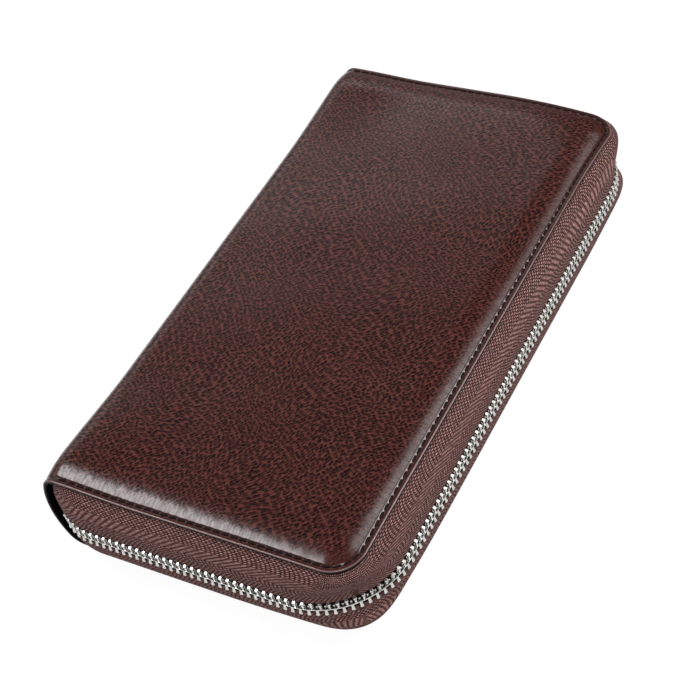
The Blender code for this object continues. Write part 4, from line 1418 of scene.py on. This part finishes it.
# %% Bindings of the centre pocket
BINDING = 0.5 * MM
BINDING_SEAM = 1.1 * MM
BINDING_STITCH = 0.18 * MM

bindings = []
for word, way in (("near", -1), ("far", 1)):
    low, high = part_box(f"centre_binding_{word}")
    edge_y = max(abs(low.y), abs(high.y)) - BINDING / 2
    lap = min(abs(low.y), abs(high.y))
    reach = (high.z - low.z) / 2 - BINDING / 2
    corner = [(lap, reach), (edge_y - 1.6 * MM, reach), (edge_y - 0.9 * MM, reach - 0.2 * MM)]
    corner += [(edge_y - 0.3 * MM, reach - 0.8 * MM), (edge_y, reach - 1.6 * MM), (edge_y, 0.0)]
    corner = np.array(corner)
    strip = ribbon(np.concatenate([corner, corner[-2::-1] * (1, -1)]), BINDING) * (way, 1) + (0, mid_z)
    rings = [np.column_stack([np.full(len(strip), x), strip]) for x in close_rows(low.x, high.x, 50)]
    points, faces = tube(rings)
    hide = np.column_stack([points[:, 0], points[:, 1] + points[:, 2], np.zeros(len(points))])
    tape_edge = put(f"{word}_binding", points, faces, LINING, {"hide": hide})
    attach(tape_edge, "spine")
    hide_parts(f"centre_binding_{word}")
    for side in (FRONT, BACK):
        level = mid_z + side * (reach + BINDING_STITCH)
        seam_y = way * (lap + BINDING_SEAM)
        ends = np.array([(low.x + MM, seam_y, level), (high.x - MM, seam_y, level)])
        bindings.append(sew(ends, np.array((0.0, 0.0, side))))
points, faces = merge(*bindings)
binding_stitches = put("binding_stitches", points, faces, THREAD, smooth=70)
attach(binding_stitches, "spine")
tell(binding_stitches)

# %% [markdown]
# ## Studio
# The wallet lies on a white floor. Glossy leather shows its lamps, so each lamp hangs where one side
# mirrors it: an oval strip at the left gives the near shoulder its pale band, and two strips at the back
# give the right shoulder a dimmer one that runs to the far corner. Two soft boxes, from the front and
# from the right, light the body and the tape. The surround is brightest at middle height, which greys
# the far end and the spine's roll, dim above, and screened at the far right, where the leather is dark.

# %% Floor
def floor_finish():
    made = bpy.data.materials.new("floor")
    made.use_nodes = True
    tree = made.node_tree
    tree.nodes.clear()
    lit = add(tree, "ShaderNodeBsdfDiffuse", {"Color": (0.4, 0.4, 0.4, 1)})
    white = add(tree, "ShaderNodeEmission", {"Color": (1, 1, 1, 1), "Strength": 1.25})
    path = add(tree, "ShaderNodeLightPath").outputs
    seen = calc(tree, "MAXIMUM", path["Is Camera Ray"], path["Is Glossy Ray"])
    seen = calc(tree, "MAXIMUM", seen, path["Is Transmission Ray"])
    share = times(tree, seen, 0.75)
    mixed = add(tree, "ShaderNodeMixShader", {0: share, 1: lit.outputs[0], 2: white.outputs[0]})
    end = add(tree, "ShaderNodeOutputMaterial")
    tree.links.new(mixed.outputs[0], end.inputs["Surface"])
    return made


FLOOR_HALF = 4.0
FLOOR_LEVEL = -0.02 * MM
corners = np.array([(-1, -1), (1, -1), (1, 1), (-1, 1)]) * FLOOR_HALF
floor = put("floor", at_level(corners, FLOOR_LEVEL), [[0, 1, 2, 3]], floor_finish())
floor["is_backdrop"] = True

# %% Surround
world = bpy.data.worlds.new("surround")
scene.world = world
world.use_nodes = True
tree = world.node_tree
direction = add(tree, "ShaderNodeTexCoord").outputs["Generated"]
height = parts_of(tree, direction)[2]
level = add(tree, "ShaderNodeValToRGB", {"Fac": height})
stops = level.color_ramp.elements
SURROUND = ((0.0, 0.25), (0.45, 0.4), (0.6, 1.25), (0.64, 0.56), (0.66, 0.37), (0.69, 0.08))
SURROUND += ((0.75, 0.02), (1.0, 0.01))
while len(stops) < len(SURROUND):
    stops.new(1.0)
for stop, (place, value) in zip(stops, SURROUND):
    stop.position = place
    stop.color = (value, value, value, 1)
tree.links.new(level.outputs["Color"], tree.nodes["Background"].inputs["Color"])
to_right = span(tree, parts_of(tree, direction)[0], -0.42, -0.24)
to_far = span(tree, parts_of(tree, direction)[1], 0.35, 0.6)
screened = times(tree, times(tree, to_right, to_far), -0.92)
tree.links.new(calc(tree, "ADD", screened, 1.0), tree.nodes["Background"].inputs["Strength"])


# %% Lamps
def soft_box(name, place, aim, size, radiance):
    """Oval lamp with an even face of the given radiance."""
    lamp = bpy.data.lights.new(name, "AREA")
    lamp.shape = "ELLIPSE"
    lamp.size, lamp.size_y = size
    area = math.pi / 4 * size[0] * size[1]
    lamp.energy = radiance * math.pi * area
    made = bpy.data.objects.new(name, lamp)
    scene.collection.objects.link(made)
    made.location = place
    made.rotation_euler = (Vector(aim) - Vector(place)).to_track_quat("-Z", "Y").to_euler()
    return made


STRIP_HEIGHT = 0.5
for name, x, y, size, turn, radiance in (
    ("near_strip", -0.3, -0.087, (0.4, 0.125), -29, 8.6),
    ("right_strip", 0.078, 0.2, (0.11, 0.28), 0, 3.6),
    ("far_strip", 0.09, 0.46, (0.11, 0.74), -5, 1.8),
):
    strip = soft_box(name, (x, y, STRIP_HEIGHT), (x, y, 0), size, radiance)
    strip.rotation_euler = (0, 0, math.radians(turn))
soft_box("front_box", (0.4, -0.65, 0.85), (0, 0, 0.02), (0.6, 0.6), 4.5)
soft_box("side_box", (0.45, 0.28, 0.5), (0, 0, 0.02), (0.4, 0.4), 7.2)

scene.view_settings.view_transform = "Standard"

# %% Sizes
low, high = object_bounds()
print("visual box", [round(c / MM, 2) for c in low], [round(c / MM, 2) for c in high])
